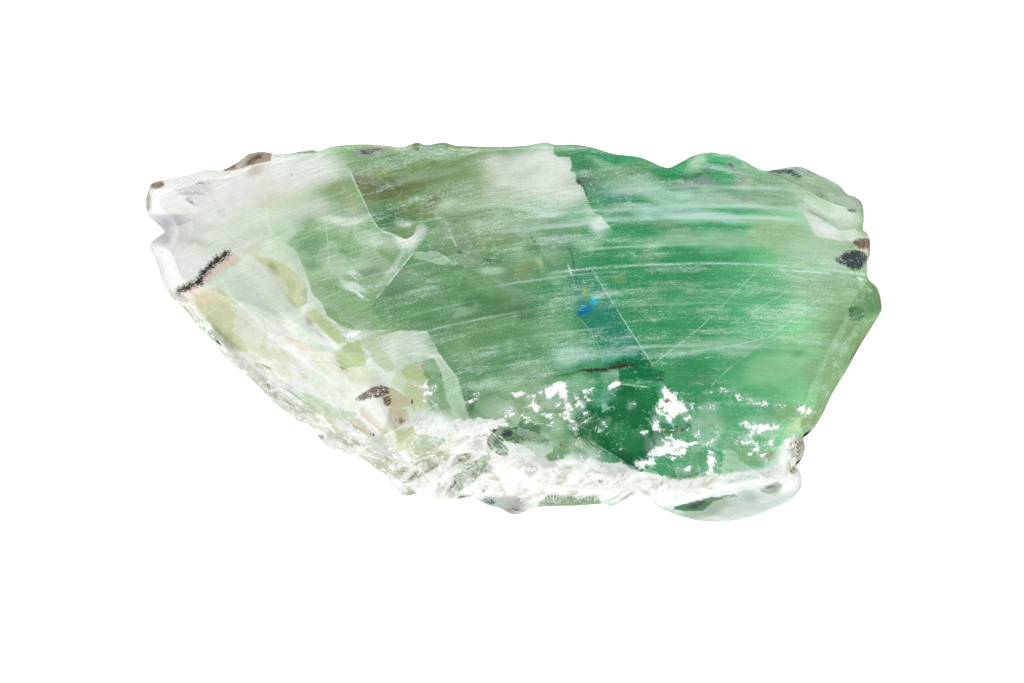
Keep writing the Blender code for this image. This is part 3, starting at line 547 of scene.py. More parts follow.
# Crisp flakes and facets: name, sheet, tone, strength, rise above what is round it, corners.
FLAKES = [
    ("green_face", "f", None, 0.0, 0.12, [
        (-18.6, 7.4), (-17.3, 6.4), (-16.9, 5.4), (-16.4, 4.0), (-16.1, 3.0), (-15.3, 2.3),
        (-14.9, 1.3), (-13.8, 0.5), (-12.6, 0.1), (-10.6, 0.2), (-8.5, 0.25), (-6.8, 0.1),
        (-5.9, -1.7), (-5.1, -2.7), (-4.0, -3.9), (-1.0, -3.9), (1.2, -3.75), (5.0, -3.25),
        (7.5, -3.05), (11.0, -3.2), (13.2, -4.2), (16.0, -4.6), (20.0, -5.3), (24.2, -6.0),
        (27.0, -3.0), (31.0, 3.0), (30.0, 16.0), (-20.0, 16.0), (-21.0, 9.6),
    ]),
    ("white_shelf", "s", "white", 0.95, 0.1, [
        (-4.6, -6.95), (-3.6, -7.0), (-2.4, -6.9), (-0.7, -7.0), (-0.2, -7.5), (-0.9, -7.8),
        (-2.0, -8.0), (-0.9, -8.6), (0.3, -8.9), (1.0, -9.1), (2.0, -10.0), (3.4, -10.4),
        (4.6, -10.35), (6.0, -10.1), (7.6, -10.5), (8.6, -10.4), (10.0, -11.1), (11.8, -11.4),
        (13.0, -11.8), (14.5, -11.7), (15.6, -11.5), (16.4, -11.2), (17.2, -11.9), (18.2, -12.4),
        (17.8, -13.0), (15.6, -13.4), (13.0, -14.0), (11.4, -14.0), (9.9, -13.2), (7.0, -13.3),
        (4.6, -12.7), (1.8, -12.6), (0.4, -13.2), (-1.4, -13.0), (-2.8, -13.2), (-4.5, -12.9),
        (-4.0, -12.1), (-2.9, -10.9), (-3.4, -9.9), (-4.6, -9.0),
    ]),
    ("white_facet", "a", "white", 0.9, -0.2, [
        (-29.4, 10.9), (-28.6, 11.35), (-27.4, 11.4), (-26.2, 10.9), (-25.4, 9.9), (-25.3, 9.5),
        (-27.2, 9.4), (-29.4, 9.3),
    ]),
    ("lavender_facet", "b", "lavender", 0.9, -0.45, [
        (-29.4, 9.3), (-27.2, 9.4), (-26.0, 9.4), (-25.7, 9.0), (-26.6, 8.6), (-27.5, 8.4),
        (-27.4, 7.2), (-28.9, 6.9), (-28.0, 8.05),
    ]),
    ("pale_facet", "c", "milk", 0.8, 0.0, [
        (-29.2, 6.6), (-28.2, 6.4), (-27.0, 6.7), (-25.4, 7.1), (-24.4, 6.5), (-23.8, 6.0),
        (-25.4, 4.4), (-26.6, 3.7), (-27.8, 3.3), (-28.8, 4.4),
    ]),
    ("straw_panel", "a", "straw", 0.8, -0.15, [
        (-25.9, 2.6), (-25.2, 3.5), (-23.5, 3.6), (-22.4, 2.5), (-21.0, 1.2), (-19.6, 0.2),
        (-19.9, -1.2), (-21.4, -1.6), (-22.6, -1.0), (-24.1, 0.5), (-25.3, 1.8),
    ]),
    ("pale_tongue", "b", "pale_mint", 0.9, 0.15, [
        (-23.5, 4.3), (-22.3, 5.8), (-20.8, 6.1), (-19.9, 4.95), (-17.8, 2.35), (-17.3, 1.9),
        (-18.4, 1.4), (-19.6, 1.1), (-21.4, 1.7), (-22.4, 2.6),
    ]),
    ("olive_tongue", "a", "straw", 0.9, -0.1, [
        (-20.7, 6.05), (-19.5, 5.95), (-18.2, 5.4), (-17.1, 4.5), (-16.5, 3.5), (-16.5, 2.4),
        (-17.1, 1.9), (-17.5, 2.05), (-19.9, 5.0),
    ]),
    ("straw_strip", "c", "straw", 0.8, -0.05, [
        (-16.6, 1.6), (-15.9, 1.9), (-14.8, 0.9), (-13.4, -0.3), (-13.2, -0.8), (-14.1, -0.9),
        (-15.4, 0.2),
    ]),
    ("leaf_patch", "a", "straw", 0.7, -0.05, [
        (-14.3, -1.7), (-13.2, -0.8), (-12.3, -1.0), (-11.6, -1.9), (-11.9, -2.7), (-13.4, -2.9),
        (-14.1, -2.5),
    ]),
    ("olive_sheet", "a", "moss", 0.7, -0.12, [
        (-13.35, 13.5), (-12.9, 12.8), (-12.2, 11.0), (-11.3, 9.1), (-10.7, 8.2), (-9.8, 7.9),
        (-8.6, 7.4), (-8.0, 7.7), (-7.7, 8.6), (-5.0, 9.5), (-1.0, 10.0), (-1.0, 13.4),
        (-4.0, 14.2), (-10.0, 14.1),
    ]),
    ("leaf_panel", "a", "leaf", 0.85, 0.1, [
        (-15.9, 3.0), (-14.0, 3.65), (-12.8, 3.25), (-11.35, 2.3), (-11.7, 1.0), (-12.5, 0.2),
        (-13.8, 0.6), (-14.9, 1.4), (-15.3, 2.3),
    ]),
    ("inner_green", "b", "grass", 0.7, -0.06, [
        (-11.5, 2.1), (-9.9, 4.0), (-7.9, 6.4), (-6.6, 5.4), (-4.8, 4.9), (-3.6, 4.2),
        (-4.0, 2.6), (-5.0, 1.0), (-7.0, 0.3), (-9.0, 0.7), (-10.6, 0.9),
    ]),
    ("fan", "c", "mint", 0.65, 0.04, [
        (-7.85, 6.4), (-6.0, 6.45), (-5.5, 6.1), (-4.9, 5.6), (-5.6, 5.35), (-8.0, 5.9),
    ]),
    ("olive_triangle", "d", "olive_sage", 0.55, 0.05, [
        (-5.5, 9.1), (-5.1, 8.0), (-4.8, 7.0), (-4.4, 6.4), (-5.4, 6.35), (-6.9, 6.5),
        (-6.8, 7.6),
    ]),
    ("cloud", "a", None, 0.0, 0.05, [
        (-5.5, 15.4), (3.2, 15.4), (3.25, 14.3), (3.6, 14.0), (4.5, 14.05), (4.7, 13.5),
        (4.6, 12.95), (4.95, 12.75), (5.15, 12.0), (5.6, 11.6), (5.75, 11.0), (6.1, 10.7),
        (6.3, 9.9), (6.75, 9.5), (7.5, 8.7), (8.3, 7.8), (7.7, 7.2), (6.6, 6.6), (5.2, 6.6),
        (4.3, 7.0), (4.1, 8.2), (3.6, 9.0), (-0.5, 10.0), (-5.5, 10.5),
    ]),
    ("teal_wedge", "b", "teal", 0.85, -0.08, [
        (4.95, 5.1), (6.15, 5.0), (7.35, 3.2), (8.8, 0.95), (11.25, -2.75), (7.2, -2.7),
        (6.9, -1.2), (6.0, 0.3), (5.1, 1.3), (4.75, 2.6), (4.85, 3.7),
    ]),
    ("dark_strip", "b", "deep_emerald", 0.85, -0.15, [
        (8.4, -3.0), (10.2, -2.8), (12.2, -3.2), (12.0, -3.9), (8.4, -3.95),
    ]),
    ("pale_chip", "c", "sage", 0.6, 0.05, [
        (6.8, -3.15), (8.3, -3.05), (8.4, -3.95), (7.2, -4.1),
    ]),
    ("emerald_window", "a", "deep_emerald", 1.0, -0.3, [
        (7.3, -4.9), (8.4, -4.2), (11.3, -4.4), (11.6, -5.0), (11.3, -6.2), (11.5, -6.9),
        (12.4, -7.35), (14.0, -7.2), (14.2, -7.6), (13.0, -8.0), (12.0, -8.3), (11.3, -9.1),
        (10.5, -9.9), (10.9, -10.8), (10.2, -11.2), (9.4, -10.9), (8.8, -10.3), (7.6, -9.6),
        (6.2, -8.9), (4.8, -8.2), (4.6, -7.4), (5.3, -6.4), (6.1, -5.6),
    ]),
    ("teal_patch", "c", "pale_teal", 0.6, 0.05, [
        (7.0, -5.5), (7.3, -5.0), (7.6, -5.3), (7.5, -6.1), (7.1, -6.3),
    ]),
    ("clear_band", "c", "pale_mint", 0.75, 0.12, [
        (-10.6, -0.25), (-9.0, 0.15), (-6.9, 0.1), (-6.1, -1.4), (-5.2, -2.8), (-4.4, -3.9),
        (-3.9, -5.5), (-3.5, -6.9), (-4.7, -6.9), (-5.3, -5.6), (-5.6, -4.0), (-5.9, -2.9),
        (-6.4, -2.1), (-7.5, -2.3), (-9.3, -2.9), (-9.9, -2.1),
    ]),
    ("green_strip", "b", "straw", 0.75, -0.1, [
        (-12.9, -0.85), (-12.0, -0.5), (-11.0, -0.15), (-10.6, -0.3), (-10.75, -0.9),
        (-10.1, -1.8), (-9.5, -2.7), (-9.3, -3.1), (-10.2, -3.2), (-11.0, -2.5), (-11.5, -1.6),
        (-12.2, -1.0),
    ]),
    ("lime_panel", "a", "straw", 0.75, 0.05, [
        (-9.3, -3.1), (-7.3, -2.4), (-6.9, -3.6), (-6.9, -4.8), (-6.8, -6.3), (-8.1, -6.4),
        (-8.2, -5.4), (-9.0, -4.6), (-9.8, -4.1),
    ]),
    ("leaf_scale", "b", "leaf", 0.9, -0.1, [
        (-7.4, -2.6), (-6.3, -2.3), (-5.8, -3.4), (-5.5, -4.6), (-5.2, -6.2), (-6.6, -6.3),
        (-6.9, -5.2), (-6.9, -4.0),
    ]),
    ("dark_leaf", "a", "forest", 0.9, -0.1, [
        (-4.3, -4.3), (-3.8, -4.2), (-3.2, -4.6), (-2.9, -5.6), (-3.4, -6.6), (-3.8, -5.6),
    ]),
    ("cream_facet", "a", "milk", 0.9, 0.1, [
        (-12.4, -6.0), (-11.2, -5.6), (-10.2, -5.6), (-9.95, -6.1), (-10.05, -7.0),
        (-10.6, -8.2), (-11.3, -7.4), (-12.2, -6.7),
    ]),
    ("tan_facet", "b", "tan", 0.9, -0.15, [
        (-9.95, -6.05), (-8.5, -6.2), (-8.3, -6.8), (-8.7, -7.3), (-9.3, -7.7), (-10.1, -8.1),
        (-10.75, -8.4), (-10.1, -7.0),
    ]),
    ("olive_nose", "c", "tan", 0.8, 0.1, [
        (-10.3, -4.4), (-9.6, -4.5), (-8.8, -5.1), (-8.1, -5.5), (-8.1, -5.9), (-8.7, -6.05),
        (-9.8, -6.05), (-10.0, -5.3),
    ]),
    ("white_plate", "b", "frost", 0.9, 0.1, [
        (-17.0, -3.9), (-14.6, -3.4), (-12.6, -4.5), (-11.7, -5.3), (-12.4, -6.4),
        (-13.9, -6.1), (-15.7, -5.2),
    ]),
    ("mint_wedge", "c", "pale_mint", 0.8, -0.1, [
        (-17.4, -4.7), (-15.8, -5.2), (-13.8, -6.2), (-12.4, -6.5), (-12.9, -7.0),
        (-14.8, -6.8), (-16.4, -6.2), (-17.4, -5.5),
    ]),
    ("straw_wedge", "a", "tan", 0.6, -0.05, [
        (-13.4, -7.0), (-12.3, -6.95), (-11.6, -7.7), (-11.1, -8.3), (-11.6, -8.4),
        (-12.5, -7.9),
    ]),
    ("mint_patch", "c", "milk", 0.9, 0.05, [
        (-11.9, -8.4), (-10.6, -8.5), (-9.4, -8.2), (-9.3, -10.9), (-11.0, -11.1), (-12.3, -9.6),
    ]),
    ("straw_facet", "d", "straw", 0.85, -0.08, [
        (-9.4, -7.9), (-8.0, -7.5), (-7.7, -8.9), (-8.3, -9.6), (-9.4, -9.5),
    ]),
    ("shadow_band", "a", "khaki", 0.85, -0.25, [
        (-10.8, -11.1), (-9.4, -11.05), (-7.9, -10.7), (-6.5, -9.8), (-5.5, -9.4), (-5.0, -9.5),
        (-5.6, -10.5), (-7.0, -11.3), (-8.2, -11.9), (-9.2, -11.7), (-10.0, -11.5),
    ]),
    ("white_face", "d", "frost", 0.95, 0.2, [
        (-8.6, -12.1), (-6.9, -11.4), (-5.5, -10.5), (-5.1, -11.2), (-5.4, -12.6), (-5.9, -13.3),
        (-6.8, -13.7), (-8.0, -12.7),
    ]),
    ("shadow_facet", "b", "khaki", 0.8, -0.3, [
        (-5.2, -11.6), (-4.4, -11.2), (-3.4, -11.0), (-2.9, -10.9), (-3.3, -11.5), (-4.2, -12.1),
        (-4.8, -12.9), (-5.5, -13.0), (-5.1, -12.2),
    ]),
    ("small_shadow", "c", "khaki", 0.7, -0.2, [
        (-4.9, -10.7), (-4.4, -9.9), (-3.5, -9.65), (-3.0, -9.95), (-3.9, -10.4),
    ]),
    ("hatched_spot", "a", "sage", 0.5, -0.25, [
        (-1.95, -8.1), (-1.5, -8.25), (-0.9, -8.7), (-0.3, -9.4), (-0.5, -9.9), (-1.1, -9.9),
        (-1.8, -9.4), (-2.05, -8.9),
    ]),
    ("mid_green", "b", "forest", 0.9, -0.15, [
        (-1.0, -7.9), (-0.5, -7.6), (0.2, -7.6), (0.7, -7.0), (1.6, -7.1), (2.2, -7.6),
        (2.2, -8.3), (3.1, -8.7), (2.6, -9.1), (1.2, -8.75), (0.3, -8.7), (-0.5, -8.5),
    ]),
    ("grass_scale", "c", "grass", 0.85, -0.1, [
        (2.5, -9.9), (3.4, -9.3), (4.4, -9.0), (5.2, -8.7), (4.8, -9.5), (3.8, -10.2),
        (2.8, -10.35),
    ]),
    ("emerald_scale", "b", "emerald", 0.8, -0.12, [
        (11.0, -11.0), (12.0, -10.2), (13.6, -9.6), (15.0, -9.5), (15.6, -10.1), (15.5, -11.3),
        (14.4, -11.6), (12.9, -11.7), (11.7, -11.4),
    ]),
    ("mint_triangle", "c", "mint", 0.7, 0.05, [
        (16.3, -11.2), (16.7, -10.2), (17.5, -9.6), (18.3, -10.3), (19.0, -10.9), (17.8, -11.2),
    ]),
    ("lobe_lens", "a", "ash_mint", 0.9, -0.05, [
        (16.6, -11.9), (18.0, -11.5), (19.8, -11.2), (20.6, -11.1), (19.6, -11.7), (17.8, -12.0),
    ]),
    ("lobe_body", "c", "ash_mint", 0.95, 0.0, [
        (12.3, -13.95), (13.4, -14.0), (15.7, -13.4), (17.9, -13.05), (18.2, -12.75),
        (19.4, -12.55), (20.0, -12.95), (21.2, -13.1), (22.6, -12.7), (22.8, -14.5),
        (18.0, -16.0), (12.0, -15.5),
    ]),
    ("lobe_streak", "d", "forest", 0.8, -0.1, [
        (13.0, -14.0), (14.5, -13.6), (15.7, -13.3), (17.0, -13.05), (17.9, -12.98),
        (17.9, -13.12), (16.2, -13.5), (15.6, -14.0), (15.2, -14.35), (13.9, -14.4),
        (12.8, -14.2),
    ]),
    ("lobe_patch", "a", "grey", 0.85, -0.1, [
        (19.6, -12.65), (20.3, -12.25), (21.2, -12.0), (21.6, -12.2), (21.2, -12.9),
        (20.4, -13.1),
    ]),
    ("pale_right", "a", "pale_leaf", 0.6, 0.06, [
        (18.6, 8.1), (19.6, 7.2), (20.8, 6.4), (21.35, 5.2), (22.5, 3.3), (24.0, 2.2),
        (27.2, 2.4), (28.4, 4.0), (28.4, 8.0), (24.0, 8.2), (20.0, 8.6),
    ]),
    ("bevel", "b", "leaf", 0.95, 0.0, [
        (28.4, 4.1), (27.6, 3.2), (27.0, 2.2), (26.8, 1.0), (26.6, 0.2), (26.4, -1.0),
        (25.3, -1.6), (25.0, -2.7), (25.2, -3.4), (24.4, -4.4), (24.3, -5.5), (23.9, -6.4),
        (22.9, -7.2), (23.4, -8.3), (25.4, -7.0), (31.0, 0.0), (31.0, 4.0),
    ]),
    ("bevel_block", "c", "forest", 0.95, -0.1, [
        (26.8, 2.0), (27.9, 2.1), (28.3, 1.4), (27.8, 0.9), (26.9, 0.9),
    ]),
    ("upper_facet", "b", "sage", 0.95, -0.1, [
        (20.1, 13.0), (21.2, 12.5), (22.4, 12.0), (23.5, 11.5), (24.6, 10.8), (25.8, 10.2),
        (27.6, 9.7), (29.0, 10.0), (28.0, 14.0), (22.0, 14.5),
    ]),
    ("cream_wedge", "c", "pale_mint", 0.8, 0.0, [
        (23.2, 9.6), (24.3, 9.2), (25.0, 8.8), (26.2, 8.1), (27.4, 8.3), (28.3, 7.4),
        (26.5, 7.2), (24.2, 7.7),
    ]),
    ("right_crust", "d", "rose_tan", 0.75, -0.1, [
        (21.4, -8.9), (22.3, -8.3), (23.2, -8.3), (24.0, -9.0), (23.8, -10.6), (22.6, -11.4),
        (21.9, -11.0), (22.2, -10.0), (21.5, -9.6),
    ]),
    ("side_crust", "d", "rose_tan", 0.85, -0.15, [
        (27.0, 6.75), (27.7, 7.1), (28.3, 7.7), (29.2, 7.4), (29.0, 5.6), (28.1, 5.9),
        (28.0, 6.5),
    ]),
    ("left_crust", "d", "bark", 0.9, -0.3, [
        (-23.5, 13.2), (-23.1, 12.9), (-22.4, 12.95), (-21.6, 13.15), (-20.6, 13.4),
        (-19.4, 13.7), (-19.3, 15.0), (-22.5, 15.0),
    ]),
    # a painted shadow in a hollow of the broken band
    ("hollow_painted_shadow", "d", "shade", 0.25, -0.2, [
        (-4.7, -10.8), (-3.3, -10.4), (-2.0, -9.7), (-1.8, -10.0), (-2.5, -11.3), (-3.6, -12.4),
        (-4.5, -12.8), (-5.2, -13.2), (-5.45, -12.4), (-5.0, -11.4),
    ]),
    ("cream_plane", "c", "pale_mint", 0.75, 0.05, [
        (-9.2, -8.5), (-7.4, -8.2), (-5.4, -8.5), (-5.6, -9.4), (-7.3, -10.2), (-9.0, -10.8),
    ]),
    # a painted shadow between ridges of the broken band
    ("khaki_painted_shadow", "c", "khaki", 0.55, -0.15, [
        (-10.5, -11.1), (-9.1, -11.0), (-7.3, -10.4), (-6.2, -9.7), (-5.2, -9.5), (-5.0, -10.2),
        (-6.2, -10.8), (-7.6, -11.3), (-9.1, -11.7), (-9.8, -11.6),
    ]),
    # a light painted shadow at the foot of the broken band
    ("foot_painted_shadow", "b", "khaki", 0.4, 0.0, [
        (-8.9, -11.8), (-7.4, -12.0), (-6.7, -12.5), (-7.2, -13.2), (-8.4, -13.2),
    ]),
    ("green_foot", "d", "olive_sage", 0.85, -0.1, [
        (2.1, -13.6), (3.3, -12.8), (4.2, -13.1), (6.7, -13.3), (7.2, -13.8), (3.0, -14.2),
        (2.0, -14.1),
    ]),
    ("dark_notch", "d", "forest", 0.85, -0.2, [
        (-1.8, -7.9), (-1.1, -7.5), (0.35, -7.9), (1.3, -8.2), (0.35, -8.95), (-0.6, -8.7),
        (-1.5, -8.7), (-1.9, -9.1),
    ]),
    ("stained_border", "d", "rose_tan", 0.9, 0.0, [
        (-27.2, 3.0), (-26.2, 3.4), (-25.3, 3.9), (-24.7, 4.5), (-24.2, 5.0), (-23.6, 5.5),
        (-22.9, 6.0), (-22.5, 6.4), (-22.1, 6.1), (-22.9, 5.3), (-23.7, 4.6), (-24.4, 4.0),
        (-25.1, 3.3), (-26.0, 2.8), (-27.0, 2.5),
    ]),
    ("left_nub", "d", "bark", 0.9, -0.1, [
        (-29.2, 11.6), (-28.7, 11.45), (-28.1, 11.55), (-27.9, 11.85), (-28.4, 12.4),
        (-29.4, 12.4),
    ]),
    ("top_patch", "d", "grey", 0.8, -0.15, [
        (-13.0, 14.3), (-12.4, 14.0), (-11.2, 14.05), (-10.6, 14.3), (-9.6, 14.4),
        (-10.8, 14.75), (-12.3, 14.8),
    ]),
]
SHEETS = "gfsabcd"
SHEET_NAMES = ("ground", "face", "shelf", "flakes_a", "flakes_b", "flakes_c", "flakes_d")

# White chips struck out of the surface, as corners.
CHIPS = [
    [(12.0, -4.4), (12.5, -4.8), (13.3, -5.2), (13.9, -5.7), (14.35, -6.25), (14.0, -6.5),
     (13.4, -6.7), (13.2, -7.1), (12.6, -7.2), (12.15, -7.1), (12.3, -6.6), (11.9, -6.2),
     (11.6, -5.9), (11.85, -5.2)],
    [(11.35, -6.0), (11.7, -6.25), (12.0, -6.6), (11.8, -6.95), (11.4, -6.9)],
    [(13.3, -6.85), (14.2, -6.6), (14.3, -6.8), (13.8, -7.1), (13.4, -7.05)],
    [(11.0, -7.3), (11.5, -7.35), (11.85, -7.8), (11.6, -7.95), (11.2, -7.75)],
    [(10.2, -7.85), (10.75, -7.95), (10.6, -8.2), (10.2, -8.15)],
    [(10.7, -9.7), (11.2, -9.3), (11.9, -9.0), (12.1, -8.5), (12.6, -8.35), (13.1, -8.7),
     (13.9, -8.9), (14.5, -8.95), (14.0, -9.3), (13.3, -9.3), (12.8, -9.1), (12.4, -9.8),
     (11.6, -9.9), (11.0, -10.1)],
    [(12.6, -10.0), (13.0, -9.6), (13.8, -9.4), (13.3, -9.8), (12.8, -10.15)],
    [(9.65, -10.85), (10.1, -10.15), (10.8, -10.5), (10.5, -10.85)],
    [(10.8, -10.5), (11.05, -9.9), (11.45, -10.2), (11.2, -10.6)],
    [(13.1, -10.95), (14.1, -10.85), (14.0, -11.15), (13.1, -11.2)],
    [(15.6, -10.0), (15.9, -9.6), (16.2, -10.4), (16.1, -11.3), (15.6, -11.6), (15.5, -11.0)],
    [(16.6, -4.6), (17.5, -4.7), (18.1, -4.95), (18.4, -5.4), (18.0, -5.5), (17.6, -5.1),
     (16.9, -4.9)],
    [(18.3, -5.9), (18.9, -5.6), (18.7, -5.1), (19.3, -5.35), (20.0, -5.45), (20.8, -5.75),
     (20.2, -5.95), (19.6, -6.1), (18.9, -5.95)],
    [(20.7, -5.8), (21.6, -5.85), (21.2, -6.0), (20.8, -5.95)],
    [(22.5, -6.25), (23.2, -6.05), (24.1, -6.4), (23.4, -6.55), (22.8, -6.45)],
    [(18.2, -7.35), (18.6, -7.0), (19.0, -7.25), (19.6, -7.35), (20.6, -7.35), (21.2, -7.6),
     (20.4, -7.8), (19.8, -8.0), (19.2, -7.85), (18.7, -7.65)],
    [(17.8, -8.85), (18.4, -8.5), (18.8, -8.25), (19.0, -8.6), (19.2, -8.95), (18.6, -9.0)],
    [(19.15, -9.3), (19.5, -9.1), (20.0, -9.6), (20.25, -9.95), (19.7, -9.9), (19.4, -9.6)],
    [(20.4, -8.8), (20.75, -8.55), (21.15, -8.8), (20.9, -9.15), (20.5, -9.15)],
    [(15.4, -4.8), (16.1, -4.75), (15.9, -5.0)],
    [(15.4, -6.05), (16.3, -5.9), (15.9, -6.15)],
    [(15.2, -9.05), (16.2, -8.55), (15.95, -8.85)],
    [(2.2, -4.9), (2.9, -4.3), (3.5, -3.9), (4.1, -4.1), (4.3, -4.8), (4.4, -5.6),
     (4.6, -6.6), (4.3, -6.75), (4.1, -5.6), (3.4, -5.1), (2.6, -5.35)],
    [(4.1, -6.15), (4.6, -6.6), (4.95, -7.2), (5.05, -7.7), (4.5, -7.2), (4.1, -6.85)],
    [(5.5, -6.05), (5.8, -6.2), (5.95, -7.3), (5.7, -7.2), (5.5, -6.6)],
    [(5.0, -5.2), (5.4, -5.45), (5.75, -6.05), (5.2, -5.95)],
    [(5.3, -4.45), (6.4, -4.4), (6.2, -4.85), (5.6, -4.85)],
    [(1.2, -5.9), (1.9, -5.65), (2.4, -6.0), (1.9, -6.55), (1.4, -6.4)],
    [(0.9, -5.0), (1.6, -5.2), (1.2, -5.45)],
    [(-0.9, -6.1), (-0.1, -6.05), (-0.1, -6.75), (-0.8, -6.5)],
    [(0.75, -6.7), (1.3, -6.55), (1.65, -6.9), (1.1, -7.05)],
    [(2.9, -6.9), (3.25, -7.1), (3.1, -7.95), (2.85, -7.6)],
    [(-0.3, -4.85), (0.9, -4.95), (1.0, -5.1), (-0.2, -5.05)],
    [(2.4, -8.0), (3.0, -8.4), (2.8, -8.6), (2.2, -8.2)],
    [(-3.95, -5.95), (-3.5, -5.5), (-3.25, -4.85), (-3.05, -4.95), (-3.35, -5.6)],
    [(-7.2, -4.1), (-6.95, -3.9), (-6.85, -4.9), (-7.2, -5.1)],
    [(-6.2, -3.65), (-6.05, -3.75), (-6.6, -4.9), (-6.85, -4.8)],
    [(8.1, -4.05), (8.4, -4.2), (8.2, -4.45), (7.6, -4.55), (7.5, -4.35)],
    [(9.3, -5.9), (9.8, -5.55), (9.75, -5.8), (9.1, -6.3)],
    [(7.1, -7.2), (7.8, -6.9), (7.7, -7.1), (7.1, -7.5)],
    [(-13.7, -0.2), (-12.2, 0.1), (-12.4, -0.1), (-13.4, -0.5)],
    [(-8.9, -9.9), (-8.2, -9.8), (-7.9, -10.3), (-8.5, -10.6), (-8.9, -10.3)],
]

# Bright lines of fractures in three groups that don't cross inside a group: strength, width,
# points.
BRIGHT_LINES = {
    "veins_a": [
        (0.75, 0.045, [(-13.2, 13.1), (-12.2, 10.95), (-11.3, 9.05), (-10.7, 8.2)]),
        (0.85, 0.045, [(-7.9, 6.45), (-9.0, 5.1), (-9.9, 4.0), (-11.5, 2.0)]),
        (0.7, 0.03, [(6.15, 5.2), (7.4, 3.2), (8.8, 1.0), (11.25, -2.8)]),
        (1.0, 0.08, [(4.2, 5.9), (4.5, 5.1), (4.7, 4.3), (4.95, 3.95)]),
        (0.7, 0.045, [(-5.5, 9.1), (-4.9, 7.6), (-4.4, 6.5)]),
        (0.8, 0.05, [(-9.95, -6.1), (-10.05, -7.0), (-10.7, -8.35)]),
        (0.6, 0.07, [(5.9, -8.6), (7.4, -9.5), (8.9, -10.4), (9.9, -11.1)]),
        (0.6, 0.05, [(-23.5, 4.3), (-22.2, 2.6), (-21.4, 1.6), (-20.2, 0.4), (-19.1, -0.9)]),
        (0.8, 0.08, [(21.0, 4.95), (23.6, 4.85), (25.0, 4.7), (27.0, 4.5), (28.3, 4.1)]),
        (0.4, 0.05, [(14.2, 13.3), (15.3, 13.2), (16.5, 13.0), (19.4, 12.55)]),
    ],
    "veins_b": [
        (1.0, 0.1, [(-14.0, 3.75), (-13.4, 3.55), (-12.7, 3.3), (-12.0, 2.75), (-11.35, 2.45)]),
        # a painted glint
        (0.9, 0.09, [(-13.3, 4.6), (-12.9, 4.5), (-12.4, 4.15)]),
        (0.75, 0.05, [(-10.7, 8.15), (-9.6, 7.8), (-8.7, 7.3)]),
        (0.6, 0.025, [(11.3, -2.5), (15.0, 0.4), (17.2, 2.6), (19.7, 5.1)]),
        (0.5, 0.05, [(-16.9, 5.4), (-16.5, 4.2), (-16.2, 3.2), (-15.6, 2.4), (-14.9, 1.4)]),
        (0.4, 0.03, [(8.35, -3.0), (8.4, -4.05)]),
        (0.9, 0.08, [(-6.65, 3.4), (-6.2, 3.1)]),
        (0.7, 0.05, [(-13.7, -0.7), (-12.4, -0.4), (-11.0, 0.05), (-9.4, 0.2)]),
        (0.6, 0.05, [(-9.1, -0.7), (-8.3, -1.4), (-7.4, -1.9), (-6.2, -2.0)]),
        (0.45, 0.04, [(13.0, -1.8), (15.5, -1.4), (17.5, -1.1), (20.5, -0.4)]),
        (0.7, 0.05, [(-22.7, 1.9), (-22.0, 1.4)]),
        (0.4, 0.04, [(-15.0, 8.8), (-14.8, 6.5), (-14.7, 5.0)]),
        (0.5, 0.04, [(-17.3, -3.4), (-15.0, -5.0), (-12.6, -6.3)]),
    ],
    "veins_c": [
        (0.5, 0.025, [(17.3, 0.55), (19.8, 2.0), (22.2, 3.4)]),
        (0.65, 0.025, [(15.7, -4.5), (16.2, -3.9), (17.3, -2.9), (20.5, -0.4), (22.9, 1.4),
                      (24.9, 3.0)]),
        (0.5, 0.035, [(-20.7, 6.0), (-19.9, 4.95), (-17.8, 2.35)]),
        (0.6, 0.05, [(-7.9, 6.35), (-6.3, 6.45), (-5.6, 6.1), (-4.9, 5.6)]),
        (0.3, 0.03, [(5.1, 1.3), (6.0, 0.3), (6.9, -1.2), (7.2, -2.6)]),
        (0.6, 0.06, [(-6.1, -1.7), (-5.3, -2.7), (-4.3, -3.9)]),
        (0.6, 0.06, [(-6.7, -5.3), (-6.2, -5.9), (-6.9, -6.2)]),
        (0.5, 0.04, [(8.5, -4.15), (9.8, -4.3), (11.0, -4.45)]),
        (0.5, 0.04, [(-12.9, -4.6), (-12.2, -3.3), (-12.8, -2.9)]),
        (0.6, 0.05, [(18.0, -13.2), (18.0, -12.8), (19.3, -12.6), (19.6, -12.9)]),
    ],
}
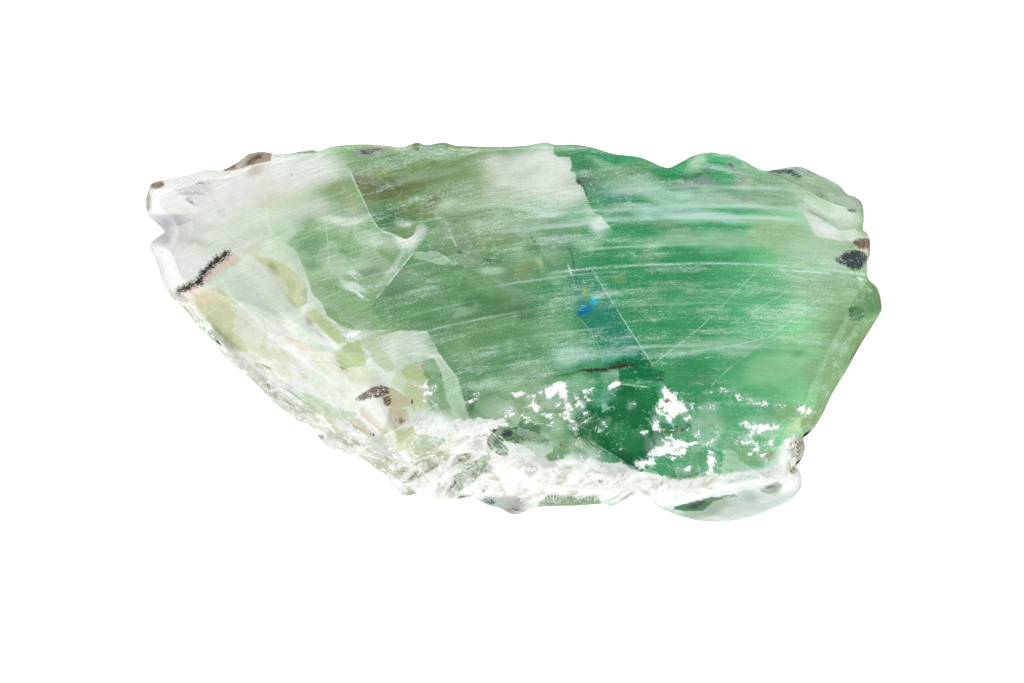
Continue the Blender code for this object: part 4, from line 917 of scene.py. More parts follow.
# Dark cracks, as the bright lines.
DARK_LINES = [
    (1.0, 0.22, [(-27.1, 3.2), (-26.0, 3.6), (-25.2, 4.0), (-24.8, 4.7), (-24.3, 5.2),
                 (-23.9, 5.6), (-23.2, 6.1), (-22.6, 6.6)]),
    (1.0, 0.12, [(5.3, -3.08), (6.3, -3.05), (7.4, -3.0), (7.9, -2.85), (8.8, -2.68),
                  (9.4, -2.6), (10.1, -2.75)]),
    (0.5, 0.05, [(3.4, -3.5), (4.5, -3.35), (5.7, -3.1)]),
    (0.35, 0.04, [(1.2, -3.75), (2.4, -3.6)]),
    (0.55, 0.08, [(-2.4, 5.85), (-1.6, 5.65), (-0.9, 5.75)]),
    (0.6, 0.07, [(-4.5, 6.7), (-4.35, 6.35), (-3.9, 6.3)]),
    (0.5, 0.06, [(-4.2, 5.3), (-3.7, 5.05)]),
    (0.5, 0.06, [(-20.3, -2.6), (-19.3, -3.0)]),
    (0.5, 0.08, [(-19.3, -4.9), (-18.9, -5.4)]),
    (0.4, 0.05, [(-18.9, -4.3), (-17.9, -4.8), (-16.4, -5.9)]),
    (0.4, 0.05, [(-18.6, -5.3), (-17.6, -6.0)]),
    (0.5, 0.08, [(1.35, 7.9), (1.5, 7.4), (2.0, 7.1)]),
    (0.6, 0.07, [(5.1, 12.6), (5.15, 12.1), (5.6, 11.6), (6.0, 10.7), (6.3, 10.0)]),
    (0.4, 0.06, [(-5.0, -10.7), (-4.5, -9.9), (-3.4, -9.7)]),
    (0.5, 0.06, [(-2.0, -8.3), (-2.05, -8.9), (-1.6, -9.6)]),
    (0.5, 0.08, [(-2.25, -7.0), (-2.1, -7.4)]),
    (0.45, 0.07, [(-25.6, 11.9), (-24.6, 11.92)]),
    (0.3, 0.07, [(-27.0, 11.07), (-25.6, 11.1), (-24.6, 11.05)]),
    (0.35, 0.08, [(-26.3, 10.75), (-25.9, 10.4), (-25.3, 10.1)]),
    (0.35, 0.04, [(20.1, 13.0), (22.4, 12.0), (25.0, 10.6), (26.5, 10.1)]),
    (0.45, 0.05, [(23.4, 9.85), (24.6, 9.2), (25.2, 8.8)]),
    (0.45, 0.05, [(4.2, 6.9), (4.6, 6.6), (4.9, 5.0)]),
    (0.4, 0.06, [(-16.2, -7.8), (-15.8, -8.2), (-15.3, -8.6)]),
    (0.4, 0.06, [(12.2, -6.2), (12.6, -6.8), (13.3, -6.75)]),
    (0.4, 0.04, [(28.6, 4.0), (29.3, 3.0), (29.5, 1.8), (28.4, 0.0), (27.2, -2.4),
                 (24.8, -6.7)]),
]

# Soft fields, each a list of strength, centre, radii, turn in degrees.
FIELDS = {
    # white crumbling where the stone was crushed; there, and on the wall, facets and blocks get painted shade and
    # painted highlight
    "crush": [
        (0.7, (-6.6, -11.2), (5.6, 2.6), -10), (0.7, (-3.0, -8.6), (2.6, 1.9), 0),
        (0.8, (2.5, -12.0), (6.0, 2.0), 0), (0.7, (8.5, -12.3), (3.8, 1.5), 0),
        (0.5, (13.0, -12.4), (4.0, 0.8), 0), (0.3, (3.0, -6.4), (2.4, 2.4), 0),
        (0.12, (0.0, -6.0), (2.2, 1.2), 0), (0.3, (5.6, -9.4), (2.0, 1.2), -20),
        (0.3, (14.6, -8.4), (3.0, 2.0), 0), (0.3, (11.6, -9.2), (1.4, 1.4), 0),
        (0.3, (20.0, -9.0), (2.4, 1.8), 0), (0.7, (22.4, -9.8), (1.2, 1.6), 0),
        (0.5, (-14.0, -8.4), (3.5, 1.4), -25), (0.55, (-20.0, -4.6), (6.5, 0.9), -41),
        (0.6, (-25.0, 0.6), (3.6, 0.8), -48), (0.35, (-7.6, -5.0), (1.6, 1.4), 0),
        (0.3, (5.4, -5.2), (1.2, 1.0), 0), (0.3, (15.8, -10.8), (1.0, 1.2), 0),
    ],
    # fine silk in the face, besides what the growth lines carry
    "silk": [
        (1.0, (5.0, 4.0), (40.0, 30.0), 0), (-0.85, (21.0, -3.4), (4.6, 2.0), 0),
        (-0.7, (17.0, 7.2), (8.0, 0.9), -3), (-0.8, (25.5, 9.0), (3.6, 3.4), -25),
        (-0.9, (2.0, 13.2), (3.2, 1.8), 0), (-0.6, (-6.5, 12.6), (6.0, 0.8), 5),
        (-0.6, (-25.0, 8.0), (8.5, 9.0), 0), (-0.6, (-20.0, 11.5), (5.5, 3.5), 0),
        (-0.7, (0.0, 2.5), (3.0, 1.3), 0), (0.3, (-11.0, 6.0), (5.0, 3.5), 0),
        (0.5, (11.0, 10.9), (7.0, 1.0), -2), (0.5, (14.0, 9.4), (7.0, 0.6), -2),
        (0.3, (14.0, -1.0), (5.0, 1.6), 5), (0.4, (4.6, -1.6), (3.0, 1.8), 0),
        (-0.6, (13.0, -3.4), (6.0, 0.7), -5), (-0.6, (16.0, 5.9), (6.0, 0.45), -1),
        (-1.0, (8.4, -7.6), (6.0, 3.8), 0), (-0.9, (-17.0, -2.0), (9.0, 5.5), -35),
        (-1.0, (-8.0, -9.0), (8.0, 5.2), -10), (-1.0, (3.0, -11.6), (12.0, 2.4), 0),
        (-1.0, (18.0, -12.6), (7.0, 2.6), 0), (-0.5, (-2.6, 2.6), (2.4, 0.6), 0),
        (-0.5, (18.0, -7.0), (4.0, 2.0), 0), (-0.7, (-18.5, 5.0), (2.4, 2.2), -50),
        (-0.8, (1.0, -6.2), (4.5, 1.8), 0), (-0.45, (13.5, 3.2), (5.0, 1.6), 0),
        (-0.6, (5.8, 2.2), (1.0, 1.2), 0), (-0.7, (-8.0, -3.6), (3.0, 3.4), 0),
    ],
    # white layers, stepped one over the other, with painted shade between them
    "layers": [
        (0.35, (-6.5, -11.0), (4.6, 2.8), -15), (0.65, (-2.2, -11.0), (3.0, 2.6), 0),
        (0.6, (2.5, -12.4), (4.6, 1.6), 0), (0.7, (8.2, -12.6), (3.4, 1.4), 0),
        (0.5, (-6.6, -8.0), (3.4, 1.8), 0), (0.4, (-11.5, -9.2), (3.0, 2.2), -30),
        (0.5, (-15.0, -7.2), (4.0, 1.4), -28), (0.5, (-19.6, -4.0), (5.5, 1.3), -40),
        (0.45, (-24.4, 0.2), (3.6, 0.9), -48), (0.15, (-15.0, -4.0), (4.5, 2.0), -30),
        (0.7, (14.0, -12.4), (6.5, 1.2), 5), (0.5, (22.2, -11.0), (1.4, 1.8), 0),
        (0.3, (-17.5, -0.5), (4.0, 2.0), -38),
    ],
    # pale, many-layered stone where planes and creases show
    "pale": [
        (1.0, (-20.0, 0.0), (11.0, 5.5), -38), (0.8, (-25.0, 8.5), (7.0, 7.0), 0),
        (0.6, (-18.5, 11.0), (6.0, 4.0), 0), (0.7, (-10.5, -4.0), (5.0, 5.0), 0),
        (0.5, (-12.0, 8.0), (6.0, 5.0), 0), (0.35, (-2.0, 8.0), (8.0, 6.0), 0),
        (0.5, (19.0, -12.0), (6.0, 2.0), 0), (0.5, (26.0, 10.0), (4.0, 4.0), 0),
        (0.6, (2.0, -7.0), (6.0, 3.0), 0), (0.4, (16.0, -9.0), (5.0, 3.0), 0),
    ],
    # clear, glassy places
    "clear": [
        (0.8, (18.0, -14.0), (5.0, 1.4), 4),
        (0.5, (-27.0, 8.4), (2.4, 1.6), 0), (0.5, (21.0, -3.2), (4.2, 2.4), 0),
        (0.5, (-10.6, -9.4), (1.6, 1.6), 0),
        (0.4, (-21.0, 1.5), (3.0, 3.5), -40),
    ],
    # edges that are torn and speckled by small breaks and partly painted glints
    "torn": [
        (1.0, (8.2, -6.8), (5.6, 4.2), -15), (-0.75, (9.4, -7.8), (2.2, 2.0), -20), (0.9, (14.6, -8.0), (6.5, 4.2), -5),
        (0.7, (20.6, -8.2), (3.6, 2.8), 0), (0.8, (3.0, -6.4), (5.0, 3.4), 0),
        (0.6, (-3.0, -6.6), (3.4, 3.0), 0), (0.3, (-7.6, -4.4), (2.8, 3.4), 0),
        (0.15, (-12.0, -4.0), (4.0, 3.0), -30), (0.5, (18.0, -12.0), (6.0, 2.0), 0),
        (0.3, (-18.0, -3.6), (8.0, 1.6), -38), (0.4, (5.8, 11.0), (1.4, 4.0), 20),
        (0.4, (27.6, 6.6), (1.6, 1.6), 0),
    ],
    # fine strokes close together, slanting and upright
    "slanting": [
        (1.0, (-0.7, -9.1), (1.7, 0.9), -40), (0.4, (6.4, -9.5), (2.0, 0.7), -30),
                (0.45, (-25.6, 11.6), (1.8, 1.0), 0), (0.3, (13.0, -10.9), (1.2, 0.4), 0),
    ],
    "upright": [
        (1.0, (3.3, -13.2), (1.4, 0.6), 0), (0.6, (6.0, -13.2), (1.2, 0.4), 0),
        (0.5, (-9.2, -7.2), (0.9, 0.5), 0), (0.5, (1.6, -13.7), (0.6, 0.4), 0),
    ],
    # brown stain
    "stain": [
        (1.2, (-10.8, -4.75), (0.85, 0.5), 10), (0.9, (-11.5, -5.0), (0.9, 0.35), 20),
        (0.8, (-10.15, -5.35), (0.4, 0.7), 15), (0.55, (-12.2, -5.3), (0.6, 0.25), 10), (0.6, (-8.1, -5.6), (0.14, 0.25), 0),
        (0.35, (-8.9, -7.1), (0.7, 0.4), 0), (0.5, (-11.3, -8.2), (0.35, 0.2), -20),
        (0.5, (-28.5, 11.75), (0.7, 0.3), 5), (0.4, (-29.3, 10.4), (0.25, 1.1), 0),
        (0.6, (-20.7, 13.8), (0.9, 0.3), 30), (0.45, (-22.6, 13.2), (0.9, 0.25), 25),
        (0.45, (-17.4, 14.35), (2.4, 0.16), 3), (0.4, (-11.4, 14.6), (1.6, 0.25), 0),
        (0.5, (-7.8, 14.8), (0.35, 0.4), 0), (0.9, (28.0, 7.1), (0.9, 0.5), 0),
        (0.5, (28.6, 6.2), (0.2, 1.2), 0), (0.42, (22.8, -9.3), (0.9, 1.3), -10),
        (0.5, (22.4, -11.1), (0.3, 0.3), 0), (0.6, (23.6, -8.1), (0.5, 0.14), 40),
        (0.6, (12.3, -5.5), (0.35, 0.22), 0), (0.6, (7.0, -12.0), (0.25, 0.22), 0),
        (0.4, (-2.4, -12.8), (0.22, 0.22), 0), (0.35, (-26.6, 2.8), (1.0, 0.3), -35),
        (0.35, (-25.4, 0.4), (1.4, 0.2), -48), (0.4, (27.4, -1.6), (0.15, 1.2), -30),
        (0.35, (9.2, -13.3), (0.9, 0.3), 25), (0.4, (-13.7, -2.85), (0.5, 0.12), -28),
        (0.35, (-17.8, 12.6), (0.2, 0.2), 0), (0.4, (-2.2, -11.1), (0.3, 0.12), 0),
    ],
    # reddish specks
    "rust": [
        (0.9, (3.85, -9.05), (0.16, 0.2), 0), (0.6, (8.7, -2.75), (1.0, 0.1), 4),
        (0.5, (6.4, -3.1), (0.5, 0.1), 0), (0.4, (-2.45, -12.75), (0.16, 0.16), 0),
        (0.4, (12.5, -5.6), (0.3, 0.2), 0),
    ],
    # grey-black
    "soot": [
        (1.0, (27.4, 6.1), (1.1, 0.5), -8), (1.0, (27.5, 5.5), (0.8, 0.6), 10),
        (0.6, (26.4, 5.7), (0.8, 0.4), -20), (0.5, (21.3, 12.9), (1.3, 0.25), 2),
        (0.5, (22.5, 12.6), (0.8, 0.3), -20), (0.3, (24.6, 11.0), (1.0, 0.3), -32),
        (0.55, (27.1, 9.75), (0.6, 0.2), -10), (0.5, (-11.8, 14.4), (0.9, 0.3), 0),
        (0.45, (17.4, 13.4), (0.5, 0.2), -50), (0.5, (-1.9, -13.6), (0.6, 0.3), -20),
        (0.8, (-0.5, -8.15), (0.5, 0.35), 0), (0.6, (-1.5, -7.9), (0.35, 0.2), 0),
        (0.4, (-1.3, -9.0), (0.7, 0.5), -40), (0.35, (-25.9, 10.5), (0.5, 0.25), -40),
        (0.4, (0.0, -14.2), (0.9, 0.3), 0), (0.5, (15.0, -13.75), (1.0, 0.3), 15),
        (0.4, (14.4, -14.1), (0.9, 0.2), 0), (0.4, (-24.0, -0.5), (1.2, 0.2), -45),
        (0.45, (-19.7, -4.3), (0.3, 0.2), -40), (0.4, (-15.4, -8.4), (0.3, 0.25), 0),
        
        (0.4, (20.7, -12.4), (0.6, 0.25), 20), (0.3, (8.6, -13.3), (0.5, 0.2), 20),
        (0.45, (-4.9, -12.3), (0.7, 0.25), 50), (0.35, (-4.3, -11.4), (0.9, 0.2), 20),
        (0.35, (-8.8, -11.2), (1.0, 0.14), 0), (0.3, (-6.4, -10.0), (1.0, 0.15), 30),
        (0.35, (-4.4, -10.3), (0.5, 0.25), 40), (0.4, (-4.0, -13.2), (0.8, 0.2), 10),
        (0.45, (22.95, -8.8), (0.14, 0.22), 0), (0.45, (22.7, -9.4), (0.3, 0.14), 20),
        (0.45, (22.5, -10.9), (0.2, 0.2), 0), (0.35, (7.1, -10.7), (0.3, 0.3), 0),
    ],
}

# The growth lines run round this point; each bright one has a radius, a half width, a strength
# and the x where it begins and ends.
GROWTH_CENTRE = (15.3, -89.7)
GROWTH_LINES = [
    (95.2, 0.10, 0.95, 3.0, 40.0), (94.85, 0.08, 0.5, -2.0, 7.0), (96.7, 0.09, 0.5, 6.0, 24.0),
    (98.9, 0.35, 0.55, 0.0, 26.0), (99.8, 0.25, 0.45, 2.0, 26.0), (101.3, 0.2, 0.4, 4.0, 22.0),
    (92.5, 0.09, 0.6, -9.0, 2.0), (90.4, 0.08, 0.4, 1.0, 7.0), (88.6, 0.15, 0.3, 8.0, 24.0),
    (97.9, 0.08, 0.35, -12.0, -3.0), (94.0, 0.08, 0.35, -9.0, 0.0), (92.0, 0.07, 0.25, 8.0, 24.0),
]


# ---------------------------------------------------------------- numbers for the shape
def scattered(cell, channel):
    """A number from 0 to 1 for each lattice cell, the same in every run: the cell's three
    whole numbers are multiplied by large odd numbers, added and their bits folded."""
    words = cell.astype(np.int64).astype(np.uint32)
    mixed = words[..., 0] * np.uint32(374761393) + words[..., 1] * np.uint32(668265263)
    mixed += words[..., 2] * np.uint32(2246822519) + np.uint32(channel * 3266489917 % 2**32)
    mixed = (mixed ^ (mixed >> np.uint32(13))) * np.uint32(1274126177)
    return (mixed ^ (mixed >> np.uint32(16))) / 2.0**32


def chipped(points, size, height, seed, shades=False):
    """Depth of a broken surface: the lowest of the shallow bowls about scattered centres.

    A bowl is the square of the distance from its centre, plus a tilt and an offset of its own,
    so neighbouring bowls meet in sharp ridges. With shades, a number from 0 to 1 for the bowl
    that is lowest comes instead of the depth."""
    scaled = points / size
    cell = np.floor(scaled)
    lowest = np.full(points.shape[:-1], np.inf)
    shade = np.zeros(points.shape[:-1])
    for step in itertools.product((-1, 0, 1), repeat=3):
        near = cell + step
        centre = near + np.stack([scattered(near, seed + k) for k in range(3)], -1)
        tilt = np.stack([scattered(near, seed + 3 + k) for k in range(3)], -1) - 0.5
        away = scaled - centre
        bowl = (away * tilt).sum(-1) * 1.2 + (away * away).sum(-1) + scattered(near, seed + 6) * 0.5
        # with shades, the number by which the finish paints this facet shaded or lit
        shade = np.where(bowl < lowest, scattered(near, seed + 7), shade)
        lowest = np.minimum(lowest, bowl)
    return shade if shades else (lowest - 0.45) * height


def swell(points, size, height, seed):
    """Smooth rise and fall: lattice values blended with an eased weight along each axis."""
    scaled = points / size
    cell = np.floor(scaled)
    ease = (scaled - cell) ** 2 * (3 - 2 * (scaled - cell))
    total = 0.0
    for corner in itertools.product((0, 1), repeat=3):
        weight = np.prod(np.where(corner, ease, 1 - ease), axis=-1)
        total = total + weight * scattered(cell + corner, seed)
    return (total - 0.5) * 2 * height


def eased(value):
    """0 below 0, 1 above 1, and three times the square less twice the cube between."""
    value = np.clip(value, 0, 1)
    return value * value * (3 - 2 * value)


def outline():
    """The loop of outline points, each stretch evenly divided, with rim heights and widths.

    The curve through the points is a cubic whose tangent at each one follows its neighbours."""
    corners = np.array([point for points, _, _ in STRETCHES for point in points])
    ahead, behind = np.roll(corners, -1, 0), np.roll(corners, 1, 0)
    chord = np.linalg.norm(ahead - corners, axis=1)[:, None]
    tangent = (ahead - behind) / (chord + np.roll(chord, 1, 0))
    t = np.linspace(0, 1, 16, endpoint=False)[None, :, None]
    start, end = corners[:, None], ahead[:, None]
    leave, arrive = (tangent * chord)[:, None], (np.roll(tangent, -1, 0) * chord)[:, None]
    curve = (
        start * (1 + 2 * t) * (1 - t) ** 2
        + leave * t * (1 - t) ** 2
        + end * t**2 * (3 - 2 * t)
        + arrive * t**2 * (t - 1)
    ).reshape(-1, 2)
    closed = np.vstack([curve, curve[:1]])
    run = np.concatenate([[0], np.cumsum(np.linalg.norm(np.diff(closed, axis=0), axis=1))])
    loop, rim, width, first = [], [], [], 0
    for points, profile, count in STRETCHES:
        last = first + len(points) * 16
        share = np.linspace(0, 1, count, endpoint=False)
        along = run[first] + share * (run[last] - run[first])
        loop.append(np.stack([np.interp(along, run, closed[:, k]) for k in range(2)], -1))
        at, heights, widths = np.array(profile).T
        rim.append(np.interp(share, at, heights))
        width.append(np.interp(share, at, widths))
        first = last
    return np.vstack(loop), np.concatenate(rim), np.concatenate(width)


def face_grid(loop):
    """Points inside the loop on ROWS + 1 by COLUMNS + 1, blended from its four sides.

    Each point is the mean that the two pairs of facing sides give, less what the corners give."""
    left = loop[: ROWS + 1]
    top = loop[ROWS : ROWS + COLUMNS + 1]
    right = loop[ROWS + COLUMNS : 2 * ROWS + COLUMNS + 1][::-1]
    lower = np.vstack([loop[2 * ROWS + COLUMNS :], loop[:1]])[::-1]
    u = np.linspace(0, 1, COLUMNS + 1)[None, :, None]
    v = np.linspace(0, 1, ROWS + 1)[:, None, None]
    across = (1 - u) * left[:, None] + u * right[:, None]
    along = (1 - v) * lower[None] + v * top[None]
    corner = (1 - v) * ((1 - u) * lower[0] + u * lower[-1]) + v * ((1 - u) * top[0] + u * top[-1])
    return across + along - corner


def from_edge(points, loop, rim, width):
    """How far inside the outline each point is, with the rim height and fall width there.

    The height and the width are means over the loop, weighted by the fourth power of nearness.
    The points are taken a band at a time to keep the tables of distances small."""
    inside, rims, widths = [], [], []
    corners = loop[::2].astype(np.float32)
    for band in np.array_split(points.reshape(-1, 2).astype(np.float32), 32):
        away = np.linalg.norm(band[:, None] - corners, axis=-1)
        weight = 1 / (away + 0.02) ** 4
        weight /= weight.sum(-1, keepdims=True)
        nearest = away.argmin(-1)
        chords = []
        for side in (-1, 1):
            way = corners[(nearest + side) % len(corners)] - corners[nearest]
            off = band - corners[nearest]
            share = np.clip((off * way).sum(-1) / (way * way).sum(-1), 0, 1)[:, None]
            chords.append(np.linalg.norm(off - share * way, axis=-1))
        inside.append(np.minimum(*chords))
        rims.append(weight @ rim[::2].astype(np.float32))
        widths.append(weight @ width[::2].astype(np.float32))
    shape = points.shape[:-1]
    return [np.concatenate(part).astype(float).reshape(shape) for part in (inside, rims, widths)]


def along_line(points, start, end):
    """Each point's share of the way from start to end, and its distance to the left of the line."""
    start, end = np.array(start), np.array(end)
    way = end - start
    length = np.hypot(*way)
    away = points - start
    return away @ way / length**2, (away @ np.array([-way[1], way[0]])) / length


def soft_spot(points, centre, radii, turn):
    """1 inside a turned ellipse, easing to 0 from four tenths of its radius to three tenths of
    it beyond its edge."""
    angle = np.radians(turn)
    away = points - np.array(centre)
    cover = np.zeros(points.shape[:-1])
    near = np.abs(away).max(-1) < 1.3 * max(radii)
    away = away[near]
    across = (away[:, 0] * np.cos(angle) + away[:, 1] * np.sin(angle)) / radii[0]
    up = (away[:, 1] * np.cos(angle) - away[:, 0] * np.sin(angle)) / radii[1]
    cover[near] = eased((1.3 - np.hypot(across, up)) / 0.9)
    return cover


def inside_corners(points, corners):
    """Distance inside a many-cornered patch, negative outside it and -2 from 2 away.

    The nearest of its sides gives the distance, and how often a ray crosses them the sign."""
    low, high = np.min(corners, axis=0) - 2, np.max(corners, axis=0) + 2
    close = ((points > low) & (points < high)).all(-1)
    depth = np.full(points.shape[:-1], -2.0)
    x, y = points[close].T
    nearest = np.full(x.shape, np.inf)
    within = np.zeros(x.shape, bool)
    for (x0, y0), (x1, y1) in zip(corners, corners[1:] + corners[:1]):
        way = np.array([x1 - x0, y1 - y0])
        share = np.clip(((x - x0) * way[0] + (y - y0) * way[1]) / (way @ way), 0, 1)
        away = np.hypot(x - x0 - share * way[0], y - y0 - share * way[1])
        nearest = np.minimum(nearest, away)
        if y0 != y1:
            crosses = (y0 > y) != (y1 > y)
            within ^= crosses & (x < x0 + (y - y0) / (y1 - y0) * (x1 - x0))
    depth[close] = np.maximum(np.where(within, nearest, -nearest), -2)
    return depth


def nearest_line(points, lines):
    """For the nearest of some lines: signed distance over its width, its strength, and the
    plain distance. The strength eases to nothing past the line's two ends."""
    signed = np.full(points.shape[:-1], 9.0)
    strength = np.zeros(points.shape[:-1])
    nearest = np.full(points.shape[:-1], np.inf)
    for power, width, route in lines:
        count = len(route) - 1
        for place, (start, end) in enumerate(zip(route, route[1:])):
            share, left = along_line(points, start, end)
            length = np.hypot(*np.subtract(end, start))
            beyond = (share - np.clip(share, 0, 1)) * length
            away = np.hypot(left, beyond)
            tip = np.ones_like(share)
            if place == 0:
                tip *= eased((share * length + 0.1) / 0.5)
            if place == count - 1:
                tip *= eased(((1 - share) * length + 0.1) / 0.5)
            closer = away < nearest
            signed = np.where(closer, left / width, signed)
            strength = np.where(closer, power * tip, strength)
            nearest = np.where(closer, away, nearest)
    return np.stack([signed, strength, nearest], -1)


def face_height(points, inside, rim_near, width_near):
    """Height of the upper face and of the broken slopes round it.

    From the rim it rises with a power of the distance inside. On the slopes the chips, ridges,
    scoops and steps are added, and each flake stands above or below what is round it."""
    fall = np.clip(inside / width_near, 0, 1)
    height = rim_near + (FACE_HEIGHT - rim_near) * fall**SHOULDER_POWER
    slope = 1 - eased((fall - 0.72) / 0.28)
    carved = slope * eased(inside / 1.2)
    solid = np.concatenate([points, np.zeros(points.shape[:-1] + (1,))], -1)
    height += carved * (chipped(solid, *COARSE_CHIPS) + chipped(solid, *FINE_CHIPS))
    crush = soft_field(points, "crush")
    rough = np.clip(carved * 0.35 + crush, 0, 1) * eased(inside / 0.5)
    height += rough * (chipped(solid, *SMALL_CHIPS) + chipped(solid, *CRUMB_CHIPS))
    for start, end, half_width, rise in RIDGES:
        share, left = along_line(points, start, end)
        beyond = np.abs(share - np.clip(share, 0, 1)) * np.hypot(*np.subtract(end, start))
        tent = np.clip(1 - np.hypot(left, beyond) / half_width, 0, 1)
        height += rise * tent * eased(inside / 0.8)
    for centre, radius, depth in SCOOPS:
        reach = np.linalg.norm(points - np.array(centre), axis=-1) / radius
        height -= depth * np.clip(1 - reach**2, 0, 1) * eased(inside / 1.0)
    for start, end, drop in STEPS:
        share, left = along_line(points, start, end)
        ends = eased(share / 0.15) * eased((1 - share) / 0.15)
        height -= drop * ends * eased(0.5 - left / STEP_WIDTH) * eased(inside / 1.5)
    for _, _, _, _, rise, corners in FLAKES:
        if rise:
            height += rise * eased(inside_corners(points, corners) / 0.35 + 0.5) * eased(inside / 0.8)
    for corners in CHIPS:
        height -= 0.16 * eased(inside_corners(points, corners) / 0.3 + 0.4)
    height += swell(solid, *FACE_SWELL) * eased(inside / 1.5)
    return np.minimum(height, FACE_HEIGHT)


def wall_rings(loop, rim):
    """The rings of the broken wall, from just under the rim down to the underside.

    Each ring follows the outline, drawn in by the inset and by the chips where they bite."""
    inward = np.roll(loop, -1, 0) - np.roll(loop, 1, 0)
    inward = np.stack([inward[:, 1], -inward[:, 0]], -1)
    for _ in range(30):
        inward = (np.roll(inward, 1, 0) + inward + np.roll(inward, -1, 0)) / 3
    inward /= np.linalg.norm(inward, axis=1)[:, None]
    on_rim = np.column_stack([loop, rim])
    inset = BASE_INSET + swell(on_rim, 6.0, BASE_INSET_WANDER, 31)
    rings = []
    for share in np.linspace(0, 1, WALL_STEPS + 1)[1:]:
        ring = np.column_stack([loop, rim * (1 - share)])
        held = np.sin(np.pi * share) if share < 1 else 0.0
        broken = chipped(ring, *COARSE_CHIPS) * 0.6 + chipped(ring, *FINE_CHIPS)
        broken += chipped(ring, *SMALL_CHIPS)
        chips = np.clip(0.35 + broken, 0, None) * held
        ring[:, :2] += inward * (inset * share**2.2 + chips)[:, None]
        rings.append(ring)
    return rings


# ---------------------------------------------------------------- numbers for the tones
def soft_field(points, name):
    """The sum of a field's soft spots, held between 0 and 1."""
    total = np.zeros(points.shape[:-1])
    for strength, centre, radii, turn in FIELDS[name]:
        total += strength * soft_spot(points, centre, radii, turn)
    return np.clip(total, 0, 1)


def sheet_tones(points, sheet):
    """Screen tone of one sheet: the run of tone along the face, the soft zones that it shares,
    its flakes, which reach a little past their own edges, and the soft zones of its own."""
    stops = np.array([x for x, _ in RUN_OF_TONE])
    values = np.array([TONES[name] for _, name in RUN_OF_TONE], float)
    wander = np.concatenate([points, np.zeros(points.shape[:-1] + (1,))], -1)
    shift = np.stack([swell(wander, 2.6, 0.5, 71), swell(wander, 2.6, 0.5, 83)], -1)
    shift += np.stack([swell(wander, 0.9, 0.18, 91), swell(wander, 0.9, 0.18, 97)], -1)
    moved = points + shift
    tone = np.stack([np.interp(moved[..., 0], stops, values[:, k]) for k in range(3)], -1)
    own = [zone for zone in ZONES if sheet in zone[0] and "*" not in zone[0]]
    shared = [zone for zone in ZONES if zone[0] == "*" or (zone[0] == "f*" and sheet != "g")]
    for _, name, strength, centre, radii, turn in shared:
        cover = soft_spot(moved, centre, radii, turn)[..., None] * strength
        tone += (np.array(TONES[name]) - tone) * cover
    for _, flake_sheet, name, strength, _, corners in FLAKES:
        if flake_sheet == sheet and name:
            cover = eased(inside_corners(points, corners) / 0.6 + 2.0)[..., None] * strength
            tone += (np.array(TONES[name]) - tone) * cover
    for _, name, strength, centre, radii, turn in own:
        cover = soft_spot(moved, centre, radii, turn)[..., None] * strength
        tone += (np.array(TONES[name]) - tone) * cover
    return tone


def sheet_edge(points, sheet):
    """Distance inside the nearest flake of a sheet, negative between its flakes."""
    inside = [inside_corners(points, flake[5]) for flake in FLAKES if flake[1] == sheet]
    return np.clip(np.max(inside, axis=0), -2, 2)


def to_linear(screen):
    """Screen values from 0 to 255 as linear light: the standard curve of a screen."""
    share = np.clip(np.asarray(screen, float) / 255, 0, 1)
    return np.where(share <= 0.04045, share / 12.92, ((share + 0.055) / 1.055) ** 2.4)


# ================ mesh ================
def tone_marks(places, points):
    """Every number that the finish reads, worked out for each point of the stone."""
    colours = {}
    numbers = {}
    rows = {}
    # a random number for each facet, by which the finish paints it shaded or lit
    for name, sizes in (("fine_facets", FINE_CHIPS), ("small_facets", SMALL_CHIPS)):
        numbers[name] = chipped(places, *sizes, shades=True)
    for sheet, name in zip(SHEETS, SHEET_NAMES):
        colours[name] = to_linear(sheet_tones(points, sheet))
        if sheet != "g":
            numbers[name + "_edge"] = sheet_edge(points, sheet)
    numbers["chip_edge"] = np.max([inside_corners(points, corners) for corners in CHIPS], axis=0)
    for name in FIELDS:
        numbers[name] = soft_field(points, name)
    for name, lines in BRIGHT_LINES.items():
        rows[name] = nearest_line(points, lines)
    rows["cracks"] = nearest_line(points, DARK_LINES)
    return colours, numbers, rows


